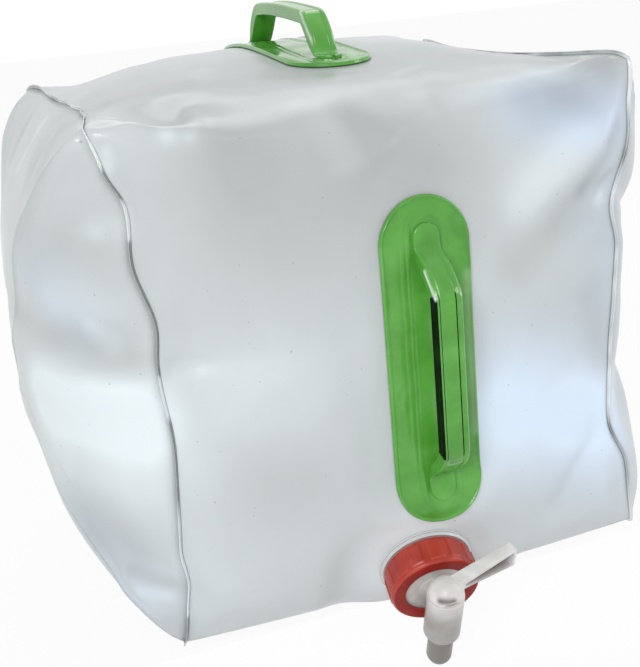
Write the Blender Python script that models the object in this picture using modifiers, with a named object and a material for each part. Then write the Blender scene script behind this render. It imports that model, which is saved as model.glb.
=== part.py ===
"""Collapsible water carrier: a soft film bag with two carrying handles and a screw-on lever tap.

The front of the carrier faces -Y and +Z is up. The origin is the centre of the flat base that
the filled bag rests on, and the tap's nozzle hangs below that base, over the edge of a table.
"""

import math

import bmesh
import bpy
from mathutils import Matrix, Vector

MM = 0.001

# Bag of clear film, measured between the corners of its two seams
BAG_WIDTH = 280.0 * MM
BAG_DEPTH = 260.0 * MM
BAG_HEIGHT = 275.0 * MM
FILM = 0.6 * MM
PIECE_GAP = 0.3 * MM

# Base and crown of the filled bag, past its seam corners
BASE_DROP = 12.0 * MM
BASE_SAG = 3.0 * MM
CROWN_RISE = 13.0 * MM
CROWN_FALL = 11.0 * MM
FRONT_SWELL = 16.0 * MM
BACK_SWELL = 13.0 * MM

# Welded seams between the wrap and the two side panels
SEAM_BOW_LEFT = 19.0 * MM
SEAM_BOW_RIGHT = 12.0 * MM
SEAM_DRAW_IN = 5.0 * MM
SEAM_FIN = 4.5 * MM
SEAM_WELD_GAP = 0.5 * MM
LAP_WIDTH = 9.0 * MM
SEAM_WANDER = 12.0 * MM
SIDE_SWELL_LEFT = 54.0 * MM
SIDE_SWELL_RIGHT = 40.0 * MM
SIDE_SLUMP = 15.0 * MM

# Waves and creases of the filled film, calm along the seams, handles, neck and base
WAVE_RISE = 1.1 * MM
CREASE_RISE = 3.6 * MM
CREASE_WIDTH = 14.0 * MM
CALM_RUN = 20.0 * MM
CALM_MARGIN = 5.0 * MM

# Neck at the lower front bend
NECK_X = 3.7 * MM
NECK_FORWARD = 3.7 * MM
NECK_Z = 27.2 * MM
NECK_TILT = 22.5
NECK_YAW = -7.8
NECK_BORE_RADIUS = 16.6 * MM
NECK_CORE_RADIUS = 19.6 * MM
NECK_HEIGHT = 14.2 * MM
FLANGE_RADIUS = 26.6 * MM
FLANGE_THICKNESS = 1.3 * MM
COLLAR_RADIUS = 25.2 * MM
COLLAR_THICKNESS = 1.3 * MM
FLAT_FILM_RADIUS = 33.0 * MM
PULLED_FILM_RADIUS = 66.0 * MM

# Screw thread shared by the neck and the ring
THREAD_PITCH = 4.0 * MM
THREAD_HEIGHT = 1.4 * MM
THREAD_CREST = 0.7 * MM
THREAD_ROOT = 1.5 * MM
THREAD_SUNK = 0.4 * MM
THREAD_CLEARANCE = 0.3 * MM
THREAD_TURNS = 2
THREAD_START = 4.3 * MM

# Screw ring
RING_OUTER_RADIUS = 24.6 * MM
RING_BACK = 3.6 * MM
RING_LIP = 2.0 * MM
RING_HOLE_RADIUS = 17.2 * MM
RING_EDGE_BEVEL = 0.9 * MM
RING_PANELS = 14
RING_PANEL_RISE = 0.7 * MM
RING_PANEL_MARGIN = 1.9 * MM
RING_PANEL_ARC_SHARE = 0.66
RING_PANEL_TURN = 3.0

# Washer between the neck and the tap
GASKET_THICKNESS = 1.2 * MM
GASKET_INNER_RADIUS = 16.8 * MM

# Tap body
DISC_RADIUS = 20.5 * MM
DISC_THICKNESS = 1.8 * MM
SLEEVE_DISTANCE = 33.0 * MM
SLEEVE_RADIUS = 10.0 * MM
SLEEVE_BORE_RADIUS = 7.6 * MM
SLEEVE_RISE = 14.0 * MM
SLEEVE_DROP = 20.0 * MM
SLEEVE_CHAMFER = 2.6 * MM
SLEEVE_CHAMFER_INSET = 1.7 * MM
BARREL_RADIUS = 8.4 * MM
BARREL_BORE_RADIUS = 5.2 * MM

# Rotating plug with its nozzle, dome and lever
PLUG_CLEARANCE = 0.3 * MM
NOZZLE_RADIUS = 7.0 * MM
NOZZLE_BORE_RADIUS = 4.9 * MM
NOZZLE_LENGTH = 22.5 * MM
NOZZLE_CHAMFER = 3.2 * MM
NOZZLE_CHAMFER_INSET = 1.4 * MM
SNAP_BEAD_RISE = 1.3 * MM
SNAP_BEAD_HEIGHT = 1.4 * MM
DOME_RADIUS = 9.7 * MM
DOME_STEPS = 7
LEVER_TURN = 15.5
LEVER_LENGTH = 41.5 * MM
LEVER_WIDTH = 6.8 * MM
LEVER_LIFT = 1.8 * MM
LEVER_WALL = 1.6 * MM
LEVER_ROOT_HEIGHT = 6.6 * MM
LEVER_TIP_HEIGHT = 12.6 * MM
SCOOP_TURN = -84.0
SCOOP_WIDTH = 6.2 * MM
SCOOP_DEPTH = 3.2 * MM
SCOOP_HEIGHT = 6.6 * MM
O_RING_WIRE = 0.9 * MM
O_RING_GROOVE_DEPTH = 1.2 * MM
O_RING_GROOVE_WIDTH = 1.5 * MM
O_RING_ROOM = 0.1 * MM
O_RING_OFFSET = 9.0 * MM

# Welded handles, alike on the front and on the top
HANDLE_LENGTH = 175.0 * MM
HANDLE_WIDTH = 49.0 * MM
HANDLE_PLATE = 1.2 * MM
HANDLE_SEAT = 0.5 * MM
HANDLE_RIM_RISE = 0.9 * MM
HANDLE_RIM_WIDTH = 1.6 * MM
STRAP_WIDTH = 14.6 * MM
STRAP_DEPTH = 7.0 * MM
STRAP_FOOT_DEPTH = 2.0 * MM
STRAP_FOOT_LENGTH = 11.0 * MM
STRAP_END_MARGIN = 13.5 * MM
STRAP_SPAN = HANDLE_LENGTH - 2 * STRAP_END_MARGIN
STRAP_LEG_RUN = 24.0 * MM
STRAP_CLEAR_HEIGHT = 16.0 * MM
STRAP_STATIONS = 36
STRAP_OUTLINE_SHARES = ((-1.0, -0.6), (-0.82, -1.0), (0.82, -1.0), (1.0, -0.6),
                        (1.0, 0.6), (0.82, 1.0), (-0.82, 1.0), (-1.0, 0.6))
HANDLE_NECK_GAP = 4.7 * MM
FRONT_HANDLE_X = 9.0 * MM
FRONT_HANDLE_Z = NECK_Z + FLANGE_RADIUS + HANDLE_NECK_GAP + HANDLE_LENGTH / 2
TOP_HANDLE_X = 7.0 * MM
TOP_HANDLE_Y = 28.0 * MM

# Where the columns of film points stand, as shares of half the bag's width
HALF_COLUMN_SHARES = (0.1, 0.2, 0.3, 0.41, 0.52, 0.63, 0.74, 0.84, 0.93, 1.0)
PILLOW_POWER = 2.6
SIDE_RING_SHARES = (0.93, 0.84, 0.73, 0.59, 0.43, 0.27, 0.11)
DOME_POWER = 2.7
DOME_FULLNESS = 0.75
CROWN_PEAK_SHARE = 0.45
CROWN_FALL_SHARE = 1.2
SIDE_SHARES = (-1.0, -0.92, -0.83, -0.72, -0.6, -0.46, -0.31, -0.16,
               0.0, 0.16, 0.31, 0.46, 0.6, 0.72, 0.83, 0.92)
MIDDLE_POWER = 5.0
MIDDLE_LOW_POWER = 6.0
SEAM_POWER = 22.0
SEAM_LOW_POWER = 38.0
WANDER_POWER = 6.0
# Where each seam wanders off its bow: places round it, counted in sides from the low rear
# corner, and shifts along X as shares of SEAM_WANDER
LEFT_WANDER_SHARES = ((0.0, 0.0), (0.85, -0.1), (1.0, 0.65), (1.11, 0.5), (1.2, 0.05),
                      (1.56, -0.3), (1.64, -0.12), (1.75, -0.4), (1.86, 0.05), (1.92, -0.3),
                      (2.3, -0.8), (2.63, -1.0), (3.0, -0.25), (4.0, 0.0))
RIGHT_WANDER_SHARES = ((0.0, 0.0), (1.0, 0.0), (1.14, 0.2), (1.24, -0.4), (1.53, 0.2),
                       (1.63, 0.3), (1.72, -0.1), (1.84, 0.4), (1.93, 0.1), (2.05, -0.1),
                       (2.5, 0.0), (4.0, 0.0))
# Waves of the film: how many fit the bag along X, Y and Z, the start and the rise of each
WAVE_SHARES = ((1.1, 0.6, -1.3, 0.15, 1.0), (-1.7, 0.9, 1.1, 0.6, 0.9),
               (2.3, -1.4, 0.7, 0.35, 0.7), (0.8, 2.4, 2.1, 0.8, 0.6),
               (-2.6, 1.9, -1.5, 0.5, 0.5), (1.5, -2.2, 3.0, 0.05, 0.5))
# Creases of the film: both ends, as shares of half the bag's width, half its depth and its
# height, then the rise and width, as shares of CREASE_RISE and CREASE_WIDTH
CREASE_SHARES = (
    ((-0.78, -0.86, 0.99), (-0.64, -0.68, 0.99), -1.3, 1.0),
    ((-0.93, -0.92, 0.99), (-0.66, -1.0, 0.95), 0.9, 0.7),
    ((-0.61, -0.87, 0.97), (-0.64, -0.6, 1.0), 0.7, 0.7),
    ((0.2, -0.97, 0.95), (-0.2, -1.07, 0.87), 0.7, 0.8),
    ((0.2, -1.0, 0.9), (0.0, -1.07, 0.85), -0.6, 0.8),
    ((0.98, -0.98, 0.9), (0.56, -1.08, 0.77), 0.8, 0.8),
    ((0.93, -0.98, 0.78), (0.64, -1.06, 0.7), -0.8, 0.8),
    ((0.9, -1.0, 0.27), (0.62, -1.05, 0.14), -0.9, 0.8),
    ((0.86, -1.0, 0.21), (0.74, -1.0, 0.09), 0.6, 0.7),
    ((-1.09, -0.83, 0.16), (-0.94, -0.98, 0.18), 0.8, 0.7),
    ((-0.86, -1.0, 0.18), (-0.66, -1.02, 0.1), 0.5, 0.8),
    ((-1.3, -0.34, 0.61), (-0.98, -0.93, 0.63), -0.8, 1.3),
    ((-0.85, -0.97, 0.61), (-0.42, -1.1, 0.58), -0.6, 1.2),
    ((-1.14, -0.28, 0.83), (-1.02, -0.88, 0.85), 0.7, 0.8),
)
# Counts of points and steps; the lap's start is counted round a column from its low rear corner
LAP_START_STEPS = 3 * len(SIDE_SHARES) + 11
SEAT_MARGIN_STEPS = 2
ROUND_STEPS = 36
SMALL_ROUND_STEPS = 28
WIRE_STEPS = 6
PLATE_END_STEPS = 6
PLATE_RUN_STEPS = 14
CUT_OVERRUN = 2.0 * MM
WELD_DISTANCE = 0.00001
PROBE = 2.0 * MM
SHARP_ANGLE = math.radians(35.0)
QUARTER_TURN = math.pi / 2

# Colours as red, green and blue shares
FILM_COLOUR = (0.80, 0.84, 0.85)
HANDLE_COLOUR = (0.13, 0.40, 0.08)
NECK_COLOUR = (0.82, 0.80, 0.76)
RING_COLOUR = (0.50, 0.04, 0.02)
TAP_COLOUR = (0.80, 0.78, 0.76)
SEAL_COLOUR = (0.04, 0.04, 0.04)


def clear_scene():
    for item in list(bpy.data.objects):
        bpy.data.objects.remove(item, do_unlink=True)


def new_collection(name):
    collection = bpy.data.collections.new(name)
    bpy.context.scene.collection.children.link(collection)
    return collection


def plastic(name, colour, roughness, transmission=0.0):
    """A moulded or rolled plastic; a clear one lets light through."""
    result = bpy.data.materials.new(name)
    result.use_nodes = True
    shader = result.node_tree.nodes["Principled BSDF"]
    shader.inputs["Base Color"].default_value = (*colour, 1.0)
    shader.inputs["Roughness"].default_value = roughness
    shader.inputs["Metallic"].default_value = 0.0
    shader.inputs["Transmission Weight"].default_value = transmission
    return result


def add_object(name, mesh, collection, material=None, parent=None):
    """Link a mesh as an object, in its parent's frame where it has one."""
    item = bpy.data.objects.new(name, mesh)
    collection.objects.link(item)
    if material:
        mesh.materials.append(material)
    if parent:
        item.parent = parent
    return item


def mesh_from(name, builder):
    mesh = bpy.data.meshes.new(name)
    builder.to_mesh(mesh)
    builder.free()
    return mesh


def smooth(item):
    item.data.shade_smooth()
    item.data.set_sharp_from_angle(angle=SHARP_ANGLE)


def grid_quads(rows, closed=False):
    """Quads between rows of points of equal length; closed joins each row's ends."""
    builder = bmesh.new()
    made = [[builder.verts.new(point) for point in row] for row in rows]
    count = len(rows[0])
    last = count if closed else count - 1
    for row, following in zip(made, made[1:]):
        for index in range(last):
            after = (index + 1) % count
            builder.faces.new((row[index], following[index], following[after], row[after]))
    return builder, made


def tube_mesh(name, rings):
    """A closed body lofted through rings of points, with both ends capped."""
    builder, made = grid_quads(rings, closed=True)
    builder.faces.new(list(reversed(made[0])))
    builder.faces.new(made[-1])
    bmesh.ops.remove_doubles(builder, verts=builder.verts, dist=WELD_DISTANCE)
    bmesh.ops.recalc_face_normals(builder, faces=builder.faces)
    return mesh_from(name, builder)


def turned(name, profile, collection, steps, material=None, parent=None, closed=True):
    """A profile of (radius, height) points turned about Z with a Screw modifier."""
    mesh = bpy.data.meshes.new(name)
    points = [(radius, 0.0, height) for radius, height in profile]
    edges = [(index, index + 1) for index in range(len(points) - 1)]
    if closed:
        edges.append((len(points) - 1, 0))
    mesh.from_pydata(points, edges, [])
    item = add_object(name, mesh, collection, material, parent)
    screw = item.modifiers.new("turn", "SCREW")
    screw.axis = "Z"
    screw.steps = steps
    screw.render_steps = steps
    screw.use_merge_vertices = True
    screw.merge_threshold = WELD_DISTANCE
    screw.use_smooth_shade = True
    return item


def as_cutter(item):
    item.hide_render = True
    item.display_type = "WIRE"
    return item


def combine(item, tool, operation):
    cut = item.modifiers.new(operation.lower(), "BOOLEAN")
    cut.operation = operation
    cut.solver = "EXACT"
    cut.object = tool
    return cut


def smoothstep(share):
    share = min(max(share, 0.0), 1.0)
    return share * share * (3.0 - 2.0 * share)


def mix(first, second, share):
    return first + (second - first) * share


def neck_matrix():
    """Neck frame: +Z out along the neck, +Y up the front of the bag."""
    turn = Matrix.Rotation(math.radians(NECK_YAW), 4, "Z")
    tilt = Matrix.Rotation(QUARTER_TURN + math.radians(NECK_TILT), 4, "X")
    place = Matrix.Translation((NECK_X, -BAG_DEPTH / 2 - NECK_FORWARD, NECK_Z))
    return place @ turn @ tilt


def between(table, place):
    """Read a table of (place, value) pairs, with soft steps between them."""
    for (start, first), (end, second) in zip(table, table[1:]):
        if place <= end:
            return mix(first, second, smoothstep((place - start) / (end - start)))
    return table[-1][1]


def square_loop():
    """Places round a unit square, from low rear: (sides passed, y share, z share, bow share)."""
    loop = []
    for turn in range(4):
        for share in SIDE_SHARES:
            y, z = ((-share, -1.0), (-1.0, share), (share, 1.0), (1.0, -share))[turn]
            loop.append((turn + (share + 1.0) / 2, y, z, 1.0 - share * share))
    return loop


def rounded(y, z, power):
    """Draw a place on the unit square in to the rounded square of this power."""
    size = (abs(y) ** power + abs(z) ** power) ** (-1.0 / power)
    return y * size, z * size


def film_columns():
    """Columns of outer film points, from the left seam to the right one."""
    low = -BASE_SAG
    high = BASE_DROP + BAG_HEIGHT + CROWN_RISE
    shares = [-share for share in reversed(HALF_COLUMN_SHARES)] + [0.0] + list(HALF_COLUMN_SHARES)
    into_neck = neck_matrix().inverted()
    columns = []
    for share in shares:
        pull = abs(share) ** PILLOW_POWER
        bow = SEAM_BOW_LEFT if share < 0.0 else SEAM_BOW_RIGHT
        wander = LEFT_WANDER_SHARES if share < 0.0 else RIGHT_WANDER_SHARES
        column = []
        for passed, y_share, z_share, bow_share in square_loop():
            power = MIDDLE_POWER if z_share > 0.0 else MIDDLE_LOW_POWER
            mid_y, mid_z = rounded(y_share, z_share, power)
            mid_y *= BAG_DEPTH / 2 + (FRONT_SWELL if y_share < 0.0 else BACK_SWELL)
            fall = CROWN_FALL * smoothstep((CROWN_PEAK_SHARE - y_share) / CROWN_FALL_SHARE)
            mid_z = (low + high) / 2 + mid_z * (high - low) / 2 - fall * smoothstep(z_share)
            power = SEAM_POWER if z_share > 0.0 else SEAM_LOW_POWER
            seam_y, seam_z = rounded(y_share, z_share, power)
            inset = 1.0 - SEAM_DRAW_IN * bow_share / (BAG_DEPTH / 2)
            seam_y *= BAG_DEPTH / 2 * inset
            seam_z = BASE_DROP + BAG_HEIGHT / 2 * (1.0 + seam_z * inset)
            x = share * (BAG_WIDTH / 2 - bow * bow_share * abs(share))
            x += SEAM_WANDER * between(wander, passed) * abs(share) ** WANDER_POWER
            point = Vector((x, mix(mid_y, seam_y, pull), mix(mid_z, seam_z, pull)))
            column.append(seated_at_neck(point, into_neck))
        away = (1.0 - abs(share)) * BAG_WIDTH / 2
        columns.append(creased(column, away, into_neck))
    return columns


def creased(column, away, into_neck):
    """Raise the waves and creases of the filled film on a smooth column of it."""
    row = []
    for point, outward in zip(column, ring_normals(column, 0.0)):
        place = point + outward * film_relief(point, away, into_neck)
        place.z = max(place.z, 0.0)
        row.append(place)
    return row


def film_relief(point, away, into_neck):
    """Rise of the film's waves and creases at a place this far from its seam."""
    x, y, z = point.x / BAG_WIDTH, point.y / BAG_DEPTH, point.z / BAG_HEIGHT
    rise = 0.0
    for along_x, along_y, along_z, start, height in WAVE_SHARES:
        turns = along_x * x + along_y * y + along_z * z + start
        rise += WAVE_RISE * height * math.sin(2.0 * math.pi * turns)
    sizes = Vector((BAG_WIDTH / 2, BAG_DEPTH / 2, BASE_DROP + BAG_HEIGHT))
    for first, last, height, width in CREASE_SHARES:
        start, end = Vector(first) * sizes, Vector(last) * sizes
        run = end - start
        share = min(max((point - start).dot(run) / run.dot(run), 0.0), 1.0)
        distance = (point - start - run * share).length / (CREASE_WIDTH * width)
        rise += CREASE_RISE * height * math.exp(-distance * distance)
    return rise * calm_share(point, away, into_neck)


def calm_share(point, away, into_neck):
    """Share of the relief left at a place: none at the seams, handles, neck and base."""
    free = smoothstep(away / CALM_RUN) * smoothstep((point.z - BASE_DROP) / CALM_RUN)
    local = into_neck @ point
    if local.z > -PULLED_FILM_RADIUS:
        free *= smoothstep((math.hypot(local.x, local.y) - FLAT_FILM_RADIUS) / CALM_RUN)
    if point.y < 0.0:
        outside = outside_plate(point.x - FRONT_HANDLE_X, point.z - FRONT_HANDLE_Z)
        free *= smoothstep((outside - CALM_MARGIN) / CALM_RUN)
    if point.z > BAG_HEIGHT / 2:
        outside = outside_plate(point.x - TOP_HANDLE_X, point.y - TOP_HANDLE_Y)
        free *= smoothstep((outside - CALM_MARGIN) / CALM_RUN)
    return free


def outside_plate(across, along):
    """Distance outside a handle's round-ended plate, by the shift from the plate's centre."""
    past = max(abs(along) - (HANDLE_LENGTH - HANDLE_WIDTH) / 2, 0.0)
    return math.hypot(across, past) - HANDLE_WIDTH / 2


def seated_at_neck(point, into_neck):
    """Draw the film on to the plane of the neck's flange, and rest it on the base."""
    local = into_neck @ point
    reach = math.hypot(local.x, local.y)
    width = PULLED_FILM_RADIUS - FLAT_FILM_RADIUS
    if local.z > -PULLED_FILM_RADIUS:
        local.z *= smoothstep((reach - FLAT_FILM_RADIUS) / width)
        point = into_neck.inverted() @ local
    point.z = max(point.z, 0.0)
    return point


def ring_normals(column, lean):
    """Mitred outward directions round one column, each leant half way to X where lean is set."""
    normals = []
    count = len(column)
    for index, point in enumerate(column):
        before = point - column[index - 1]
        after = column[(index + 1) % count] - point
        first = Vector((0.0, -before.z, before.y)).normalized()
        second = Vector((0.0, -after.z, after.y)).normalized()
        outward = (first + second) / (1.0 + first.dot(second))
        normals.append((outward + Vector((lean, 0.0, 0.0))) / math.hypot(1.0, lean))
    return normals


def wrap_panel(columns, neck_frame, parts, cutters, material):
    """The one strip of film that is base, front, top and back, lapped on itself low at the back."""
    rows = []
    for end, lean in ((0, -1.0), (-1, 1.0)):
        fins = ring_normals(columns[end], lean)
        rows.append([point + fin * SEAM_FIN for point, fin in zip(columns[end], fins)])
    strip = [rows[0]] + columns + [rows[1]]
    lapped = []
    for row in strip:
        outward = ring_normals(row, 0.0)[LAP_START_STEPS] * (FILM + PIECE_GAP)
        run = (row[LAP_START_STEPS + 1] - row[LAP_START_STEPS]).normalized() * LAP_WIDTH
        tail = [row[LAP_START_STEPS] + outward, row[LAP_START_STEPS] + run + outward]
        lapped.append(row[LAP_START_STEPS:] + row[:LAP_START_STEPS] + tail)
    builder, _ = grid_quads(lapped)
    mesh = mesh_from("wrap_panel", builder)
    item = add_object("wrap_panel", mesh, parts, material)
    wall = item.modifiers.new("film", "SOLIDIFY")
    wall.thickness = FILM
    wall.offset = -1.0
    wall.use_even_offset = True
    hole = cylinder("neck_hole", NECK_BORE_RADIUS, -FLANGE_RADIUS, FLANGE_THICKNESS, cutters,
                    neck_frame)
    combine(item, hole, "DIFFERENCE")
    smooth(item)
    return item


def side_panel(name, seam, side, swell, parts, material):
    """A domed end of the bag; its outer edge is the fin that is welded to the wrap's."""
    fins = ring_normals(seam, side)
    step_out = 2.0 * FILM + SEAM_WELD_GAP
    welded = []
    for point, fin in zip(seam, fins):
        across = Vector((fin.x, -fin.y, -fin.z))
        welded.append(point + across * step_out)
    centre = sum(welded, Vector()) / len(welded)
    into_neck = neck_matrix().inverted()
    rows = [[point + fin * SEAM_FIN for point, fin in zip(welded, fins)], welded]
    for share in SIDE_RING_SHARES:
        rise = side * swell * (1.0 - share ** DOME_POWER) ** DOME_FULLNESS
        row = []
        for point in welded:
            outward = point - centre
            circle = outward.normalized() * BAG_HEIGHT / 2
            place = centre + circle.lerp(outward, share) * share
            place.x = mix(centre.x, point.x, share * share) + rise
            place.z -= SIDE_SLUMP * (1.0 - share)
            away = (1.0 - share) * BAG_HEIGHT / 2
            place.x += side * film_relief(place, away, into_neck)
            row.append(place)
        rows.append(row)
    builder, made = grid_quads(rows, closed=True)
    tip = builder.verts.new((centre.x + side * swell, centre.y, centre.z - SIDE_SLUMP))
    inner = made[-1]
    for index, vertex in enumerate(inner):
        builder.faces.new((vertex, tip, inner[(index + 1) % len(inner)]))
    builder.normal_update()
    if side * sum(face.normal.x for face in builder.faces) < 0.0:
        bmesh.ops.reverse_faces(builder, faces=builder.faces)
    item = add_object(name, mesh_from(name, builder), parts, material)
    wall = item.modifiers.new("film", "SOLIDIFY")
    wall.thickness = FILM
    wall.offset = -1.0
    wall.use_even_offset = True
    smooth(item)
    return item


def cylinder(name, radius, low, high, collection, parent, steps=ROUND_STEPS):
    """A plain round cutter or joining solid along its parent's Z."""
    builder = bmesh.new()
    bmesh.ops.create_cone(builder, cap_ends=True, segments=steps, radius1=radius, radius2=radius,
                          depth=high - low)
    bmesh.ops.translate(builder, verts=builder.verts, vec=(0.0, 0.0, (low + high) / 2))
    return as_cutter(add_object(name, mesh_from(name, builder), collection, parent=parent))


def thread_ridge(name, root_radius, crest_radius, start, collection, parent):
    """A right-handed helical ridge, spun from its trapezoid section."""
    sunk = THREAD_SUNK if crest_radius > root_radius else -THREAD_SUNK
    root = root_radius - sunk
    outline = ((root, -THREAD_ROOT / 2), (crest_radius, -THREAD_CREST / 2),
               (crest_radius, THREAD_CREST / 2), (root, THREAD_ROOT / 2))
    builder = bmesh.new()
    corners = [builder.verts.new((radius, 0.0, start + height)) for radius, height in outline]
    face = builder.faces.new(corners)
    steps = THREAD_TURNS * ROUND_STEPS
    bmesh.ops.spin(builder, geom=[face] + face.edges[:] + face.verts[:], cent=(0.0, 0.0, 0.0),
                   axis=(0.0, 0.0, 1.0), dvec=(0.0, 0.0, THREAD_PITCH / ROUND_STEPS),
                   angle=2.0 * math.pi * THREAD_TURNS, steps=steps, use_duplicate=False)
    bmesh.ops.recalc_face_normals(builder, faces=builder.faces)
    return as_cutter(add_object(name, mesh_from(name, builder), collection, parent=parent))


def spout_neck(parts, cutters, material, neck_frame):
    """Threaded neck with the flange that is welded over the hole in the film."""
    flange_top = PIECE_GAP + FLANGE_THICKNESS
    collar_top = flange_top + COLLAR_THICKNESS
    profile = (
        (NECK_BORE_RADIUS, NECK_HEIGHT), (NECK_CORE_RADIUS, NECK_HEIGHT),
        (NECK_CORE_RADIUS, collar_top), (COLLAR_RADIUS, collar_top),
        (COLLAR_RADIUS, flange_top), (FLANGE_RADIUS, flange_top),
        (FLANGE_RADIUS, PIECE_GAP), (NECK_BORE_RADIUS, PIECE_GAP),
    )
    item = turned("spout_neck", profile, parts, ROUND_STEPS, material, neck_frame)
    ridge = thread_ridge("neck_thread", NECK_CORE_RADIUS, NECK_CORE_RADIUS + THREAD_HEIGHT,
                         THREAD_START + THREAD_ROOT / 2, cutters, neck_frame)
    combine(item, ridge, "UNION")
    return item


def stack_heights():
    """Heights along the neck of the washer, the tap's disc and the ring's lip."""
    gasket_low = NECK_HEIGHT + PIECE_GAP
    disc_low = gasket_low + GASKET_THICKNESS + PIECE_GAP
    lip_low = disc_low + DISC_THICKNESS + PIECE_GAP
    return gasket_low, disc_low, lip_low


def neck_gasket(parts, material, neck_frame):
    low = stack_heights()[0]
    high = low + GASKET_THICKNESS
    profile = (
        (GASKET_INNER_RADIUS, high), (NECK_CORE_RADIUS, high),
        (NECK_CORE_RADIUS, low), (GASKET_INNER_RADIUS, low),
    )
    return turned("neck_gasket", profile, parts, ROUND_STEPS, material, neck_frame)


def cap_ring(parts, cutters, material, neck_frame):
    """Screw ring whose lip holds the tap's disc against the neck."""
    lip_low = stack_heights()[2]
    front = lip_low + RING_LIP
    bore = NECK_CORE_RADIUS + THREAD_HEIGHT + THREAD_CLEARANCE
    profile = (
        (RING_HOLE_RADIUS, front), (RING_OUTER_RADIUS - RING_EDGE_BEVEL, front),
        (RING_OUTER_RADIUS, front - RING_EDGE_BEVEL), (RING_OUTER_RADIUS, RING_BACK),
        (bore, RING_BACK), (bore, lip_low), (RING_HOLE_RADIUS, lip_low),
    )
    item = turned("cap_ring", profile, parts, ROUND_STEPS, material, neck_frame)
    ridge = thread_ridge("ring_thread", bore, NECK_CORE_RADIUS + THREAD_CLEARANCE,
                         THREAD_START + THREAD_ROOT / 2 + THREAD_PITCH / 2, cutters, neck_frame)
    combine(item, ring_panels(front, cutters, neck_frame), "UNION")
    combine(item, ridge, "UNION")
    return item


def ring_panels(front, cutters, neck_frame):
    """Raised grip panels round the ring, spun from one flat section each."""
    low = RING_BACK + RING_PANEL_MARGIN
    high = front - RING_PANEL_MARGIN
    inner = RING_OUTER_RADIUS - RING_PANEL_RISE
    outer = RING_OUTER_RADIUS + RING_PANEL_RISE
    outline = ((inner, low), (outer, low + RING_PANEL_RISE), (outer, high - RING_PANEL_RISE),
               (inner, high))
    turn = 2.0 * math.pi / RING_PANELS
    builder = bmesh.new()
    for panel in range(RING_PANELS):
        start = Matrix.Rotation(turn * panel + math.radians(RING_PANEL_TURN), 4, "Z")
        corners = [builder.verts.new(start @ Vector((radius, 0.0, height)))
                   for radius, height in outline]
        face = builder.faces.new(corners)
        bmesh.ops.spin(builder, geom=[face] + face.edges[:] + face.verts[:],
                       cent=(0.0, 0.0, 0.0), axis=(0.0, 0.0, 1.0), dvec=(0.0, 0.0, 0.0),
                       angle=turn * RING_PANEL_ARC_SHARE, steps=2, use_duplicate=False)
    bmesh.ops.recalc_face_normals(builder, faces=builder.faces)
    mesh = mesh_from("ring_panel_solids", builder)
    return as_cutter(add_object("ring_panel_solids", mesh, cutters, parent=neck_frame))


def tap_body(parts, cutters, material, tap_frame, disc_frame):
    """Disc, barrel and upright sleeve in one moulding, bored from the neck to the plug."""
    foot = -SLEEVE_DROP
    profile = (
        (0.0, SLEEVE_RISE), (SLEEVE_RADIUS, SLEEVE_RISE), (SLEEVE_RADIUS, foot + SLEEVE_CHAMFER),
        (SLEEVE_RADIUS - SLEEVE_CHAMFER_INSET, foot), (0.0, foot),
    )
    item = turned("tap_body", profile, parts, ROUND_STEPS, material, tap_frame, closed=False)
    disc_low = stack_heights()[1]
    disc_high = disc_low + DISC_THICKNESS
    disc = cylinder("tap_disc", DISC_RADIUS, disc_low, disc_high, cutters, disc_frame)
    barrel = cylinder("tap_barrel", BARREL_RADIUS, disc_low + DISC_THICKNESS / 2, SLEEVE_DISTANCE,
                      cutters, disc_frame)
    sleeve_bore = cylinder("sleeve_bore", SLEEVE_BORE_RADIUS, foot - CUT_OVERRUN,
                           SLEEVE_RISE + CUT_OVERRUN, cutters, tap_frame)
    inlet = cylinder("tap_inlet", BARREL_BORE_RADIUS, disc_low - CUT_OVERRUN, SLEEVE_DISTANCE,
                     cutters, disc_frame, SMALL_ROUND_STEPS)
    combine(item, disc, "UNION")
    combine(item, barrel, "UNION")
    combine(item, sleeve_bore, "DIFFERENCE")
    combine(item, inlet, "DIFFERENCE")
    return item


def plug_profile():
    """Outer side of the plug from the dome down to the nozzle, then up its bore."""
    plug_radius = SLEEVE_BORE_RADIUS - PLUG_CLEARANCE
    seat = SLEEVE_RISE + PIECE_GAP
    foot = -SLEEVE_DROP - PIECE_GAP
    points = []
    for step in range(DOME_STEPS + 1):
        angle = QUARTER_TURN * (1.0 - step / DOME_STEPS)
        points.append((DOME_RADIUS * math.cos(angle), seat + DOME_RADIUS * math.sin(angle)))
    points[0] = (0.0, seat + DOME_RADIUS)
    points.append((plug_radius, seat))
    for height in (O_RING_OFFSET, -O_RING_OFFSET):
        top = height + O_RING_GROOVE_WIDTH / 2
        bottom = height - O_RING_GROOVE_WIDTH / 2
        floor = plug_radius - O_RING_GROOVE_DEPTH
        points += [(plug_radius, top), (floor, top), (floor, bottom), (plug_radius, bottom)]
    bead = plug_radius + SNAP_BEAD_RISE
    points += [(plug_radius, foot), (bead, foot), (bead, foot - SNAP_BEAD_HEIGHT / 2),
               (NOZZLE_RADIUS, foot - SNAP_BEAD_HEIGHT)]
    outlet = -SLEEVE_DROP - NOZZLE_LENGTH
    bore_top = BARREL_BORE_RADIUS
    points += [(NOZZLE_RADIUS, outlet + NOZZLE_CHAMFER),
               (NOZZLE_RADIUS - NOZZLE_CHAMFER_INSET, outlet), (NOZZLE_BORE_RADIUS, outlet),
               (NOZZLE_BORE_RADIUS, bore_top), (0.0, bore_top)]
    return points


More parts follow.
